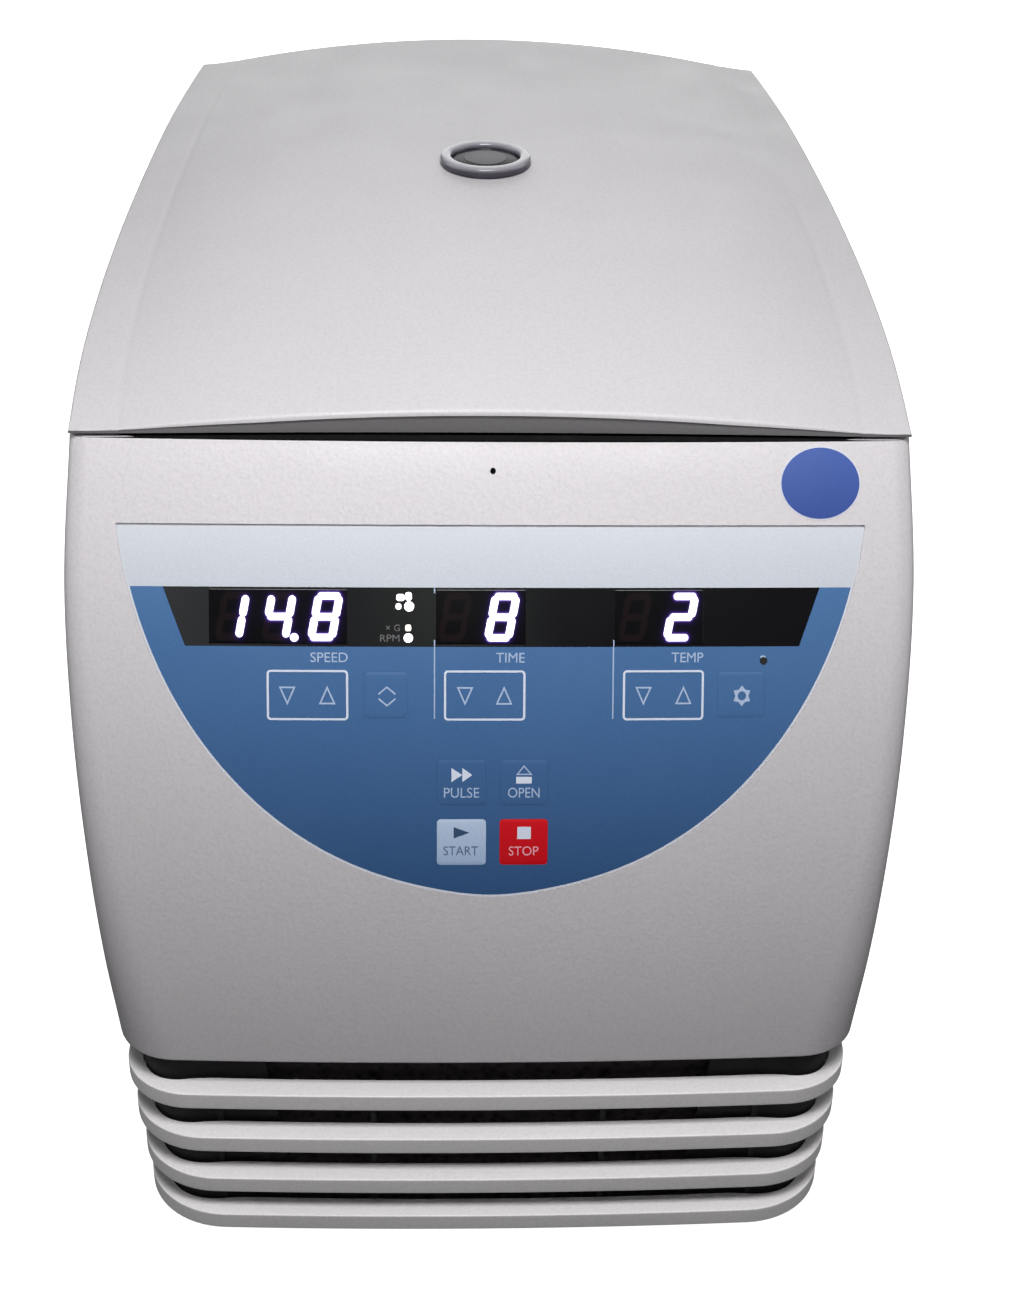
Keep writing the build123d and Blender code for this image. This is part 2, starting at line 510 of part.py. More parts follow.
LY = [-150, -135, LID_Y0, -105, -80, -45, 0, 45, 90, 135, 175, 210, 245]   # the ends are cut off below
lid_out = loft([lid_section(y, 0.0, 262.0) for y in LY]) & box(-200, 200, LID_Y0, LID_Y1, LID_ZB, 400)
lid_in = loft([lid_section(y, LID_T, 262.0) for y in LY]) & box(-200, 200, -98, LID_Y1 - LID_T, 264, 400)
lid = lid_out - lid_in
lid -= plate_xz([(-200, 280), (200, 280), (200, 300), (-200, 300)], -150, -121.9)
wedge = extrude(Face(Wire(Polyline([Vector(-200, -121.7, 294), Vector(-200, -119.9, 286), Vector(-200, -119.9, 285), Vector(-200, -130, 285), Vector(-200, -130, 294)], close=True))), 400, dir=(1, 0, 0))
lid -= wedge
# round knuckle at each rear corner, centred on the hinge axis
kpts = [(lid_half(y), y) for y in (174, 182, 190, 198, 205)]
kin = [(lid_half(y) - 6.0, y) for y in (205, 190, 174)]
for s in (-1, 1):
    kp = plate_xy([(s * x, y) for x, y in kpts + kin], 270, HINGE_Z)
    lid += kp & cyl_x(s * 100, s * 150, HINGE_Y, HINGE_Z, KNUCKLE_R)
LSCR = [(-118, -70), (118, -70), (-118, 40), (118, 40), (-112, 150), (112, 150)]
LTOP = [min(300.0, lid_e(y) - 3.5) for x, y in LSCR]
for (x, y), t in zip(LSCR, LTOP):
    lid += (cyl_z(x, y, 287.6, 330, 5.0) & lid_out)
    lid -= cyl_z(x, y, 280, t, 2.0)
WIN_Z = lid_c(Y_AX)
lid -= cyl_z(0, Y_AX, 280, 340, 16.0)
lid += (ring_z(0, Y_AX, 287.6, 335, 16.0, 19.0) & lid_out)
lid -= cyl_z(0, Y_AX, WIN_Z - 1.2, 340, 18.1)                        # flat seat of the bezel
for s in (-1, 1):
    lid -= box(s * 78.5, s * 98.5, 197, 210, 280, 298.5)
put("lid_shell", lid)

lpts = [(lid_half(y) - 10.5, y) for y in (-96, -60, -20, 20, 60, 100, 140, 172)]
outline = [(x, y) for x, y in lpts] + [(-x, y) for x, y in reversed(lpts)]
liner = plate_xy(outline, 276.0, 287.6)
liner = liner - (plate_xy([(x * 0.955, y * 0.955 + 1.7) for x, y in outline], 280.0, 290.0) - ring_z(0, Y_AX, 270, 300, 0.01, 26))
for x, y in LSCR:
    liner += cyl_z(x, y, 276.0, 287.6, 7.0)
    liner -= cyl_z(x, y, 270, 290, 2.2) + cyl_z(x, y, 270, 279.2, 4.2)
liner -= cyl_z(0, Y_AX, 270, 290, 14.5)
for s in (-1, 1):
    liner += box(s * 86, s * 97, 118, 172, 279, 287.6)
    liner += box(s * 24, s * 36, -118, -94, 276.0, 281.0)
put("lid_liner", liner)
lsc = []
for (x, y), t in zip(LSCR, LTOP):
    lsc.append(cyl_z(x, y, 276.4, 279.2, 4.0) + cyl_z(x, y, 279.2, t - 0.1, 1.94))
put("lid_screws", *lsc)
ring = ring_z(0, Y_AX, WIN_Z - 1.2, WIN_Z + 3.0, 13.2, 18.0)
ring = fillet(ring.faces().sort_by(Axis.Z)[-1].edges(), 1.0)
ring += ring_z(0, Y_AX, 318.0, WIN_Z - 0.6, 13.2, 15.9)
put("window_ring", ring)
put("window_lens", cyl_z(0, Y_AX, WIN_Z - 0.4, WIN_Z + 1.5, 13.1))
put("sight_tube", ring_z(0, Y_AX, 276.2, 317.8, 12.6, 14.4))
stk = []
for s in (-1, 1):
    p = box(s * 30 - 4.9, s * 30 + 4.9, -113, -110, 253.2, 276.0) + box(s * 30 - 5, s * 30 + 5, -117, -104, 274.4, 276.0)
    p -= box(s * 30 - 3.2, s * 30 + 3.2, -120, -100, 255.9, 262.2)
    stk.append(p)
put("latch_strikers", *stk)
br, pins, arms = [], [], []
for s in (-1, 1):
    b = box(s * 80, s * 97, 181, 199, Z_DECK, Z_DECK + 2.6)
    e = box(s * 82, s * 88, 182.4, 197.6, Z_DECK + 2, HINGE_Z) + cyl_x(s * 82, s * 88, HINGE_Y, HINGE_Z, 7.6)
    br.append(b + e - cyl_x(s * 80, s * 90, HINGE_Y, HINGE_Z, 4.0))
    pins.append(cyl_x(s * 79.0, s * 81.8, HINGE_Y, HINGE_Z, 6.0) + cyl_x(s * 81.8, s * 95.4, HINGE_Y, HINGE_Z, 4.0))
    a = cyl_x(s * 88.4, s * 94.4, HINGE_Y, HINGE_Z, 7.4) + box(s * 88.4, s * 94.4, 122, HINGE_Y, 287.6, 295.2)
    arms.append(a - cyl_x(s * 87, s * 96, HINGE_Y, HINGE_Z, 4.06))
put("hinge_brackets", *br)
put("hinge_pins", *pins)
put("hinge_arms", *arms)
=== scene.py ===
import math

import bmesh
import bpy
from mathutils import Matrix, Vector
from mathutils.geometry import delaunay_2d_cdt


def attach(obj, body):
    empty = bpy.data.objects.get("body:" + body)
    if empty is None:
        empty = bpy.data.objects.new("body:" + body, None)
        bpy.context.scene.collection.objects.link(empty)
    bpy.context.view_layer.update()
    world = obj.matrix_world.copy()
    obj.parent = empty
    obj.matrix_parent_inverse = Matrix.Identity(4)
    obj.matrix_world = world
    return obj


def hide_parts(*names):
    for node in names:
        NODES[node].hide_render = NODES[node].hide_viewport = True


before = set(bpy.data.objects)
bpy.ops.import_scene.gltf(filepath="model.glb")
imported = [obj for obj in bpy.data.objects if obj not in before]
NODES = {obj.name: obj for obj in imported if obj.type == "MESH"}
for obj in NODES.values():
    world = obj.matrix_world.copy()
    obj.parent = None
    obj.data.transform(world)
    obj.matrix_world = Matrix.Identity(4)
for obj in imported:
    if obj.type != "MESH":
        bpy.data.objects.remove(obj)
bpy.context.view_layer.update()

SCENE = bpy.context.scene
MM = 0.001

# ================================================================= form of the body, in millimetres
Z_RIM = 285.0
WALL = 3.5
FACE_Y, FACE_Z, FACE_R = 428.184, -66.482, 652.449
LID_Y0, LID_Y1, LID_ZB = -121.6, 204.0, 286.4
STRIP = 16.5
Y_AX = 42.0
N_IN = (0.0, 0.918, -0.396)


def curve(xs, ys):
    n = len(xs)
    d = [(ys[i + 1] - ys[i]) / (xs[i + 1] - xs[i]) for i in range(n - 1)]
    m = [d[0]]
    for i in range(1, n - 1):
        h0, h1 = xs[i] - xs[i - 1], xs[i + 1] - xs[i]
        m.append((d[i - 1] * h1 + d[i] * h0) / (h0 + h1))
    m.append(d[-1])

    def f(x):
        if x <= xs[0]:
            return ys[0] + m[0] * (x - xs[0])
        if x >= xs[-1]:
            return ys[-1] + m[-1] * (x - xs[-1])
        i = max(j for j in range(n - 1) if xs[j] <= x)
        h = xs[i + 1] - xs[i]
        t = (x - xs[i]) / h
        return ((1 + 2 * t) * (1 - t) ** 2 * ys[i] + t * (1 - t) ** 2 * h * m[i]
                + t * t * (3 - 2 * t) * ys[i + 1] + t * t * (t - 1) * h * m[i + 1])
    return f


ZL = [8, 30, 55, 80, 112, 150, 195, 240, 285]
front_half = curve(ZL, [126.0, 128.0, 131.0, 133.6, 137.8, 141.6, 144.9, 146.2, 143.4])
corner_r = curve(ZL, [30, 28, 25, 21, 17, 13, 10, 8, 6])
bow_end = curve(ZL, [3.2, 3.2, 3.2, 3.2, 2.6, 2.0, 1.5, 1.1, 0.8])
lid_half = curve([-121.6, -100, -80, -30, 10, 50, 84, 130, 170, 204],
                 [143.4, 144.4, 144.9, 144.2, 142.5, 140.2, 138.0, 134.9, 131.4, 128.2])


def front_y(z):
    return FACE_Y - math.sqrt(FACE_R ** 2 - (z - FACE_Z) ** 2)


def lean(z):
    return math.asin((z - FACE_Z) / FACE_R)


def half(y, z):
    cf = 0.003 + 0.009 * max(0.0, min(1.4, (z - 215) / 70)) ** 2
    hm = front_half(z) / (1 - cf)
    k = 0.45 + 0.55 * max(0.0, min(1.05, (z - 8) / 277))
    if y < -80:
        return hm * (1 - cf * ((-80 - y) / (-80 - front_y(z))) ** 2)
    return hm * (1 - (1 - lid_half(y) / 144.9) * k)


def bez(c, t):
    a, b, d, e = (1 - t) ** 3, 3 * t * (1 - t) ** 2, 3 * t * t * (1 - t), t ** 3
    return (a * c[0][0] + b * c[1][0] + d * c[2][0] + e * c[3][0],
            a * c[0][1] + b * c[1][1] + d * c[2][1] + e * c[3][1])


def face_arc(z, inset=0.0):
    y0 = front_y(z) + inset / math.cos(lean(z))
    hw = half(y0, z) - inset
    r = max(corner_r(z) - inset, 1.5)
    xa = hw - r
    sag = bow_end(z) * (xa / hw) ** 2
    return y0, xa, sag, r, (xa * xa + sag * sag) / (2 * sag)


def surf(x, z, d=0.0):
    """A point on the front, d millimetres under its surface."""
    y0, xa, sag, r, rad = face_arc(z)
    return (x, y0 + rad - math.sqrt(rad * rad - x * x) + N_IN[1] * d, z + N_IN[2] * d)


NF, NC, NA, NB = 40, 12, 4, 28
HINGE = [175.51, 176.6, 178.0, 180.0, 182.5, 186.0, 190.0, 197.0, 206.0, 215.0]
I_A = NF + NC
I_B = I_A + NA
I_C = I_B + NB
I_D = I_C + 8
I_H = I_D + 4
I_R = I_H + len(HINGE)          # first point of the rear corner
I_END = I_R + 5


def y_corner(z):
    y0, xa, sag, r, rad = face_arc(z)
    return y0 + sag + r


def half_outline(z, inset=0.0):
    """Right half of the outline at height z, from the middle of the front to the rear edge."""
    y0, xa, sag, r, rad = face_arc(z, inset)
    hh = lambda y: half(y, z) - inset
    pts = [(xa * i / NF, y0 + rad - math.sqrt(rad * rad - (xa * i / NF) ** 2)) for i in range(NF)]
    ya, a0 = y0 + sag, 2 * math.atan(sag / xa)
    yc = ya + r
    sl = (hh(yc + 1) - hh(yc - 1)) / 2
    n1 = math.hypot(sl, 1)
    k = 0.5523 * r
    c1 = [(xa, ya), (xa + k * math.cos(a0), ya + k * math.sin(a0)), (hh(yc) - k * sl / n1, yc - k / n1), (hh(yc), yc)]
    pts += [bez(c1, i / NC) for i in range(NC)]
    split = -150.0 if z <= 80.0 else y_corner(z) - 150.0 - y_corner(80.0)
    ys = [yc + (split - yc) * i / NA for i in range(NA)]
    ys += [split + (70 - split) * i / NB for i in range(NB)]
    ys += [70 + 10.0 * i for i in range(8)]
    ys += [150 + 25.51 * i / 4 for i in range(4)]
    ys += HINGE
    pts += [(hh(y), y) for y in ys]
    if inset > 0:
        pts += [(hh(215 + 0.6 * i), 215 + 0.6 * i) for i in range(1, 6)]
    else:
        sl2 = (hh(216) - hh(214)) / 2
        n2 = math.hypot(sl2, 1)
        p4 = (hh(215.0), 215.0)
        p5 = (hh(215.0) - 3.0 + sl2 * 1.5, 218.0)
        k2 = 0.5523 * 3.0
        c2 = [p4, (p4[0] + k2 * sl2 / n2, p4[1] + k2 / n2), (p5[0] + k2, p5[1]), p5]
        pts += [bez(c2, i / 5) for i in range(1, 6)]
    return pts


# ================================================================= materials
def lin(r, g, b):
    f = lambda c: (c / 255 / 12.92) if c / 255 <= 0.04045 else ((c / 255 + 0.055) / 1.055) ** 2.4
    return (f(r), f(g), f(b), 1.0)


class Mat:
    def __init__(self, name, rough=0.5, metal=0.0, spec=0.5):
        self.m = bpy.data.materials.new(name)
        self.m.use_nodes = True
        self.nt = self.m.node_tree
        self.nt.nodes.clear()
        self.out = self.nt.nodes.new("ShaderNodeOutputMaterial")
        self.b = self.nt.nodes.new("ShaderNodeBsdfPrincipled")
        self.link(self.b.outputs[0], self.out.inputs[0])
        self.b.inputs["Roughness"].default_value = rough
        self.b.inputs["Metallic"].default_value = metal
        self.b.inputs["Specular IOR Level"].default_value = spec
        tc = self.nt.nodes.new("ShaderNodeTexCoord")
        self.co = tc.outputs["Object"]
        self.normal = None

    def link(self, a, b):
        self.nt.links.new(a, b)

    def mapped(self, scale=(1, 1, 1), loc=(0, 0, 0), rot=(0, 0, 0)):
        n = self.nt.nodes.new("ShaderNodeMapping")
        n.inputs["Scale"].default_value = scale
        n.inputs["Location"].default_value = loc
        n.inputs["Rotation"].default_value = rot
        self.link(self.co, n.inputs["Vector"])
        return n.outputs[0]

    def noise(self, scale, detail=2.0, rough=0.5, vec=None, distort=0.0):
        n = self.nt.nodes.new("ShaderNodeTexNoise")
        n.inputs["Scale"].default_value = scale
        n.inputs["Detail"].default_value = detail
        n.inputs["Roughness"].default_value = rough
        n.inputs["Distortion"].default_value = distort
        self.link(vec or self.co, n.inputs["Vector"])
        return n.outputs[0]

    def voronoi(self, scale, feature="F1", vec=None):
        n = self.nt.nodes.new("ShaderNodeTexVoronoi")
        n.feature = feature
        n.inputs["Scale"].default_value = scale
        self.link(vec or self.co, n.inputs["Vector"])
        return n.outputs[0]

    def wave(self, scale, kind="BANDS", direction="X", vec=None, distort=0.0, detail=2.0):
        n = self.nt.nodes.new("ShaderNodeTexWave")
        n.wave_type = kind
        if kind == "BANDS":
            n.bands_direction = direction
        else:
            n.rings_direction = direction
        n.inputs["Scale"].default_value = scale
        n.inputs["Distortion"].default_value = distort
        n.inputs["Detail"].default_value = detail
        self.link(vec or self.co, n.inputs["Vector"])
        return n.outputs[1]

    def ramp(self, fac, stops):
        n = self.nt.nodes.new("ShaderNodeValToRGB")
        e = n.color_ramp.elements
        while len(e) < len(stops):
            e.new(0.5)
        for s, (p, c) in zip(e, stops):
            s.position = p
            s.color = c if hasattr(c, "__len__") else (c, c, c, 1)
        self.link(fac, n.inputs[0])
        return n.outputs[0]

    def span(self, fac, a, b, c, d):
        n = self.nt.nodes.new("ShaderNodeMapRange")
        for i, v in zip((1, 2, 3, 4), (a, b, c, d)):
            n.inputs[i].default_value = v
        self.link(fac, n.inputs[0])
        return n.outputs[0]

    def math(self, op, a, b=None, clamp=False):
        n = self.nt.nodes.new("ShaderNodeMath")
        n.operation = op
        n.use_clamp = clamp
        for i, v in enumerate((a, b)):
            if v is None:
                continue
            if isinstance(v, (int, float)):
                n.inputs[i].default_value = v
            else:
                self.link(v, n.inputs[i])
        return n.outputs[0]

    def mix(self, fac, a, b, mode="MIX"):
        n = self.nt.nodes.new("ShaderNodeMix")
        n.data_type = "RGBA"
        n.blend_type = mode
        for s, v in ((n.inputs[0], fac), (n.inputs[6], a), (n.inputs[7], b)):
            if isinstance(v, (int, float)):
                s.default_value = v
            elif isinstance(v, tuple):
                s.default_value = v
            else:
                self.link(v, s)
        return n.outputs[2]

    def axis(self, k):
        n = self.nt.nodes.new("ShaderNodeSeparateXYZ")
        self.link(self.co, n.inputs[0])
        return n.outputs[k]

    def upward(self):
        """How far the surface faces up, from -1 to 1."""
        t = self.nt.nodes.new("ShaderNodeTexCoord")
        n = self.nt.nodes.new("ShaderNodeSeparateXYZ")
        self.link(t.outputs["Normal"], n.inputs[0])
        return n.outputs[2]

    def attribute(self, name):
        n = self.nt.nodes.new("ShaderNodeAttribute")
        n.attribute_name = name
        return n.outputs["Fac"]

    def bump(self, height, strength, dist):
        n = self.nt.nodes.new("ShaderNodeBump")
        n.inputs["Strength"].default_value = strength
        n.inputs["Distance"].default_value = dist
        self.link(height, n.inputs["Height"])
        if self.normal is not None:
            self.link(self.normal, n.inputs["Normal"])
        self.normal = n.outputs[0]
        self.link(self.normal, self.b.inputs["Normal"])

    def color(self, out):
        self.link(out, self.b.inputs["Base Color"])

    def rough(self, out):
        self.link(out, self.b.inputs["Roughness"])


def scaled(c, k):
    return (min(1.0, c[0] * k), min(1.0, c[1] * k), min(1.0, c[2] * k), 1.0)


def plastic(name, rgb, rough=0.45, grain=0.25, grain_scale=650, fine=0.12, mottle=0.03, spec=0.45, low_shade=1.0, under=1.0):
    m = Mat(name, rough, 0.0, spec)
    c = lin(*rgb)
    big = m.noise(7.0, 4.0, 0.6)
    small = m.noise(900.0, 1.0, 0.5)
    col = m.ramp(big, [(0.3, scaled(c, 1 - mottle)), (0.7, scaled(c, 1 + mottle))])
    speck = m.ramp(small, [(0.32, 0.90), (0.5, 1.0), (0.68, 1.05)])
    col = m.mix(0.5, col, speck, "MULTIPLY")
    if low_shade != 1.0:                       # painted shade: the paint is darkened towards the bench, standing in for the light falling off lower down
        col = m.mix(1.0, col, m.ramp(m.span(m.axis(2), 0.07, 0.25, 0.0, 1.0), [(0.0, low_shade), (1.0, 1.0)]), "MULTIPLY")
    if under != 1.0:                      # painted shade: faces that turn downward, such as the overhanging lip, are darkened
        col = m.mix(1.0, col, m.ramp(m.span(m.upward(), -0.24, -0.06, 0.0, 1.0), [(0.0, under), (1.0, 1.0)]), "MULTIPLY")
    m.color(col)
    m.rough(m.span(m.noise(38.0, 3.0, 0.6), 0.3, 0.7, rough - 0.05, rough + 0.07))
    m.bump(m.noise(grain_scale, 2.0, 0.55), grain, 0.00016)
    m.bump(m.noise(grain_scale * 3.7, 1.0, 0.5), fine, 0.00006)
    return m.m


def moulded(name, rgb, rough=0.5, texture=0.35, wear=None):
    """Dark or coloured moulded plastic with a spark-eroded surface and paler, rubbed spots."""
    m = Mat(name, rough, 0.0, 0.5)
    c = lin(*rgb)
    w = lin(*(wear or tuple(min(255, v + 22) for v in rgb)))
    rub = m.ramp(m.noise(55.0, 6.0, 0.7), [(0.55, 0.0), (0.78, 1.0)])
    m.color(m.mix(m.math("MULTIPLY", rub, 0.35), c, w))
    m.rough(m.span(m.noise(24.0, 3.0), 0.3, 0.7, rough - 0.08, rough + 0.1))
    m.bump(m.voronoi(1300.0), texture, 0.00012)
    m.bump(m.noise(420.0, 3.0), 0.1, 0.0001)
    return m.m


def steel(name, rgb, rough=0.35, stretch=(14, 14, 900), strength=0.12, tint=0.12):
    m = Mat(name, rough, 1.0, 0.5)
    v = m.mapped(scale=stretch)
    streak = m.noise(1.0, 4.0, 0.65, v)
    c = lin(*rgb)
    m.color(m.ramp(streak, [(0.25, scaled(c, 1 - tint)), (0.75, scaled(c, 1 + tint))]))
    m.rough(m.span(m.noise(18.0, 4.0), 0.3, 0.7, rough - 0.07, rough + 0.1))
    m.bump(streak, strength, 0.00008)
    return m.m


def turned(name, rgb, rough=0.28, cx=0.0, cy=Y_AX * MM, tint=0.08):
    """Metal turned on a lathe about the vertical rotor axis."""
    m = Mat(name, rough, 1.0, 0.5)
    v = m.mapped(loc=(-cx, -cy, 0.0))
    rings = m.wave(260.0, "RINGS", "Z", v, 0.6, 3.0)
    c = lin(*rgb)
    m.color(m.mix(m.math("MULTIPLY", m.noise(60.0, 4.0, 0.65), 0.5), scaled(c, 1 - tint), scaled(c, 1 + tint)))
    m.rough(m.span(rings, 0.0, 1.0, rough - 0.04, rough + 0.08))
    m.bump(rings, 0.1, 0.00005)
    m.bump(m.noise(900.0, 2.0), 0.05, 0.00005)
    return m.m


def coated(name, rgb, rough=0.42, peel=0.2):
    m = Mat(name, rough, 0.0, 0.5)
    c = lin(*rgb)
    m.color(m.ramp(m.noise(12.0, 5.0, 0.6), [(0.3, scaled(c, 0.93)), (0.7, scaled(c, 1.06))]))
    m.rough(m.span(m.noise(30.0, 3.0), 0.3, 0.7, rough - 0.06, rough + 0.08))
    m.bump(m.noise(330.0, 3.0, 0.6), peel, 0.0002)
    return m.m


def rubber(name, rgb, rough=0.75):
    m = Mat(name, rough, 0.0, 0.3)
    c = lin(*rgb)
    dust = m.ramp(m.noise(90.0, 6.0, 0.75), [(0.5, 0.0), (0.8, 1.0)])
    m.color(m.mix(m.math("MULTIPLY", dust, 0.3), c, lin(*[min(255, v + 45) for v in rgb])))
    m.rough(m.span(m.noise(60.0, 3.0), 0.3, 0.7, rough - 0.08, rough + 0.1))
    m.bump(m.noise(1500.0, 2.0), 0.3, 0.00008)
    return m.m


def foam(name, rgb, cell=260.0, depth=0.0009, rough=0.9):
    m = Mat(name, rough, 0.0, 0.2)
    c = lin(*rgb)
    cells = m.voronoi(cell)
    m.color(m.ramp(cells, [(0.0, scaled(c, 0.35)), (0.5, c), (1.0, scaled(c, 1.15))]))
    m.rough(m.span(m.noise(200.0, 2.0), 0.3, 0.7, rough - 0.08, min(1.0, rough + 0.08)))
    m.bump(cells, 0.6, depth)
    return m.m


MAT = {}
# the housing paint darkens towards the bench (0.74) as painted shade
MAT["housing"] = plastic("housing_paint", (212, 209, 212), 0.46, 0.7, 520, 0.4, 0.02, low_shade=0.74)
# the lid paint darkens on downward faces (0.44) as painted shade under the lip
MAT["lid"] = plastic("lid_paint", (207, 205, 207), 0.42, 0.3, 520, 0.16, 0.018, under=0.44)
# the louvres get a paler copy of the housing paint: painted light for their brightly lit tops
MAT["louvre"] = plastic("louvre_paint_lit", (244, 242, 243), 0.46, 0.35, 520, 0.2, 0.02)
MAT["liner"] = plastic("liner_plastic_look", (196, 196, 198), 0.5, 0.3, 800, 0.2, 0.02)
MAT["black"] = moulded("black_plastic_look", (24, 24, 26), 0.5, 0.35)
# near-black rib plastic: painted shade for the ribs, uprights and baffle deep in the grille
MAT["deep"] = moulded("grille_rib_shade_black", (17, 16, 17), 0.7, 0.35, (26, 25, 26))
MAT["rear"] = coated("rear_panel_paint", (190, 188, 190), 0.48, 0.35)
MAT["steelpaint"] = coated("hinge_paint", (150, 150, 153), 0.45, 0.25)
MAT["compressor"] = coated("compressor_enamel", (22, 22, 24), 0.3, 0.25)
MAT["motor"] = coated("motor_enamel", (38, 39, 42), 0.5, 0.5)
MAT["rubber"] = rubber("rubber_look", (30, 30, 31))
# near-black seal: painted shade for the shadowed gap under the lid's lip
MAT["seal"] = rubber("edge_seal_shade_black", (5, 5, 6), 0.9)
MAT["gasket"] = rubber("gasket_rubber", (52, 53, 56), 0.6)
MAT["zinc"] = steel("zinc_sheet", (176, 178, 182), 0.4, (60, 60, 60), 0.08, 0.18)
MAT["screw"] = steel("screw_steel_look", (170, 170, 174), 0.3, (40, 300, 40), 0.08, 0.1)
MAT["bowl"] = turned("stainless_bowl", (196, 197, 200), 0.24)
MAT["rotor"] = turned("rotor_aluminium", (150, 152, 158), 0.3)
MAT["rotor_lid"] = turned("rotor_lid_aluminium", (172, 174, 180), 0.26)
MAT["copper"] = steel("copper_tube", (196, 122, 84), 0.32, (90, 90, 90), 0.08, 0.22)
MAT["foam"] = foam("pu_foam", (214, 196, 150), 420.0, 0.0006)
MAT["filter"] = foam("filter_foam", (62, 58, 58), 300.0, 0.0012)
MAT["fins"] = steel("fin_aluminium", (190, 192, 196), 0.35, (30, 30, 500), 0.1, 0.1)
MAT["drive"] = steel("drive_case", (168, 170, 174), 0.38, (20, 400, 20), 0.08, 0.08)


def pcb():
    m = Mat("circuit_board", 0.35, 0.0, 0.5)
    tracks = m.ramp(m.wave(180.0, "BANDS", "X", None, 1.5, 3.0), [(0.45, 0.0), (0.5, 1.0)])
    m.color(m.mix(tracks, lin(18, 70, 44), lin(26, 92, 58)))
    m.rough(m.span(m.noise(50.0), 0.3, 0.7, 0.28, 0.45))
    m.bump(tracks, 0.3, 0.0001)
    return m.m


MAT["pcb"] = pcb()


def film(name, stops, rough=0.38, axis=2, lo=0.1418, hi=0.2414, grain=0.16):
    """Printed polyester film; its ink is graded darker at the bottom and paler at the top, painted shade and light for
    the light falling off down the front.
    """
    m = Mat(name, rough, 0.0, 0.4)
    g = m.ramp(m.span(m.axis(axis), lo, hi, 0.0, 1.0), [(p, lin(*c)) for p, c in stops])
    speck = m.ramp(m.noise(1500.0, 1.0), [(0.35, 0.93), (0.65, 1.04)])
    m.color(m.mix(0.6, g, speck, "MULTIPLY"))
    m.rough(m.span(m.noise(30.0, 3.0), 0.3, 0.7, rough - 0.04, rough + 0.06))
    m.bump(m.noise(1900.0, 1.0), grain, 0.00004)
    return m.m


# blue ink darker at the bottom and paler at the top: painted shade and light down the control field
BLUE = [(0.0, (50, 84, 128)), (0.45, (64, 102, 150)), (1.0, (76, 118, 168))]
MAT["blue"] = film("overlay_blue_ink", BLUE)
MAT["strip"] = film("overlay_pale_ink", [(0.0, (205, 211, 220)), (1.0, (214, 219, 226))], 0.36, 2, 0.2414, 0.2597)
MAT["film"] = film("overlay_film_edge", [(0.0, (208, 212, 222)), (1.0, (216, 220, 228))], 0.4)
MAT["print"] = film("print_white", [(0.0, (214, 222, 240)), (1.0, (222, 230, 244))], 0.45, 2, 0.14, 0.26, 0.05)
MAT["print_dim"] = film("print_pale_blue", [(0.0, (164, 184, 214)), (1.0, (180, 198, 224))], 0.45, 2, 0.14, 0.26, 0.05)
MAT["print_dark"] = film("print_dark_blue", [(0.0, (52, 78, 112)), (1.0, (56, 84, 120))], 0.45, 2, 0.14, 0.26, 0.05)
MAT["print_pink"] = film("print_rose", [(0.0, (226, 166, 180)), (1.0, (234, 180, 192))], 0.45, 2, 0.14, 0.26, 0.05)
MAT["print_grey"] = film("print_grey", [(0.0, (84, 98, 126)), (1.0, (92, 106, 134))], 0.45, 2, 0.14, 0.26, 0.05)
MAT["print_faint"] = film("print_faint", [(0.0, (104, 104, 106)), (1.0, (112, 112, 114))], 0.45, 2, 0.14, 0.26, 0.05)
MAT["pale"] = film("key_pale_ink", [(0.0, (160, 184, 214)), (1.0, (186, 204, 228))], 0.38, 2, 0.1529, 0.1683)
MAT["red"] = film("key_red_ink", [(0.0, (196, 14, 26)), (1.0, (212, 20, 32))], 0.34, 2, 0.1529, 0.1683)
MAT["disc"] = film("label_blue_ink", [(0.0, (54, 80, 154)), (1.0, (66, 96, 172))], 0.3, 2, 0.262, 0.284)
MAT["disc_rim"] = film("label_white_rim", [(0.0, (206, 210, 222)), (1.0, (214, 218, 228))], 0.35, 2, 0.262, 0.284)


def lens_mat():
    m = Mat("display_smoke", 0.16, 0.0, 0.55)
    # the lens's smoked grey, with a painted reflection that pales it towards the left end
    m.color(m.ramp(m.span(m.axis(0), -0.112, 0.112, 0.0, 1.0),
                   [(0.0, lin(50, 52, 54)), (0.25, lin(28, 29, 31)), (0.45, lin(42, 44, 43)), (0.62, lin(19, 19, 22)), (1.0, lin(13, 13, 17))]))
    m.rough(m.span(m.noise(40.0, 3.0), 0.3, 0.7, 0.14, 0.22))
    m.bump(m.noise(900.0, 2.0), 0.03, 0.00005)
    return m.m


def window_mat():
    m = Mat("display_window", 0.2, 0.0, 0.4)
    g = m.attribute("glow")
    s = m.attribute("ghost")
    m.color(m.mix(s, lin(8, 8, 11), lin(34, 23, 26)))
    m.rough(m.span(m.noise(40.0, 3.0), 0.3, 0.7, 0.18, 0.26))
    m.b.inputs["Emission Strength"].default_value = 1.0
    m.link(m.ramp(g, [(0.0, (0, 0, 0, 1)), (0.25, (0.012, 0.004, 0.05, 1)), (0.6, (0.10, 0.045, 0.36, 1)), (1.0, (0.62, 0.50, 1.0, 1))]),
           m.b.inputs["Emission Color"])
    return m.m


def glow_mat(name, rgb, strength):
    m = Mat(name, 0.5)
    m.b.inputs["Base Color"].default_value = (0.8, 0.8, 0.85, 1)
    m.link(m.ramp(m.noise(700.0, 1.0), [(0.3, scaled(rgb, 0.94)), (0.7, rgb)]), m.b.inputs["Emission Color"])
    m.b.inputs["Emission Strength"].default_value = strength
    m.bump(m.noise(1200.0, 1.0), 0.05, 0.00003)
    return m.m


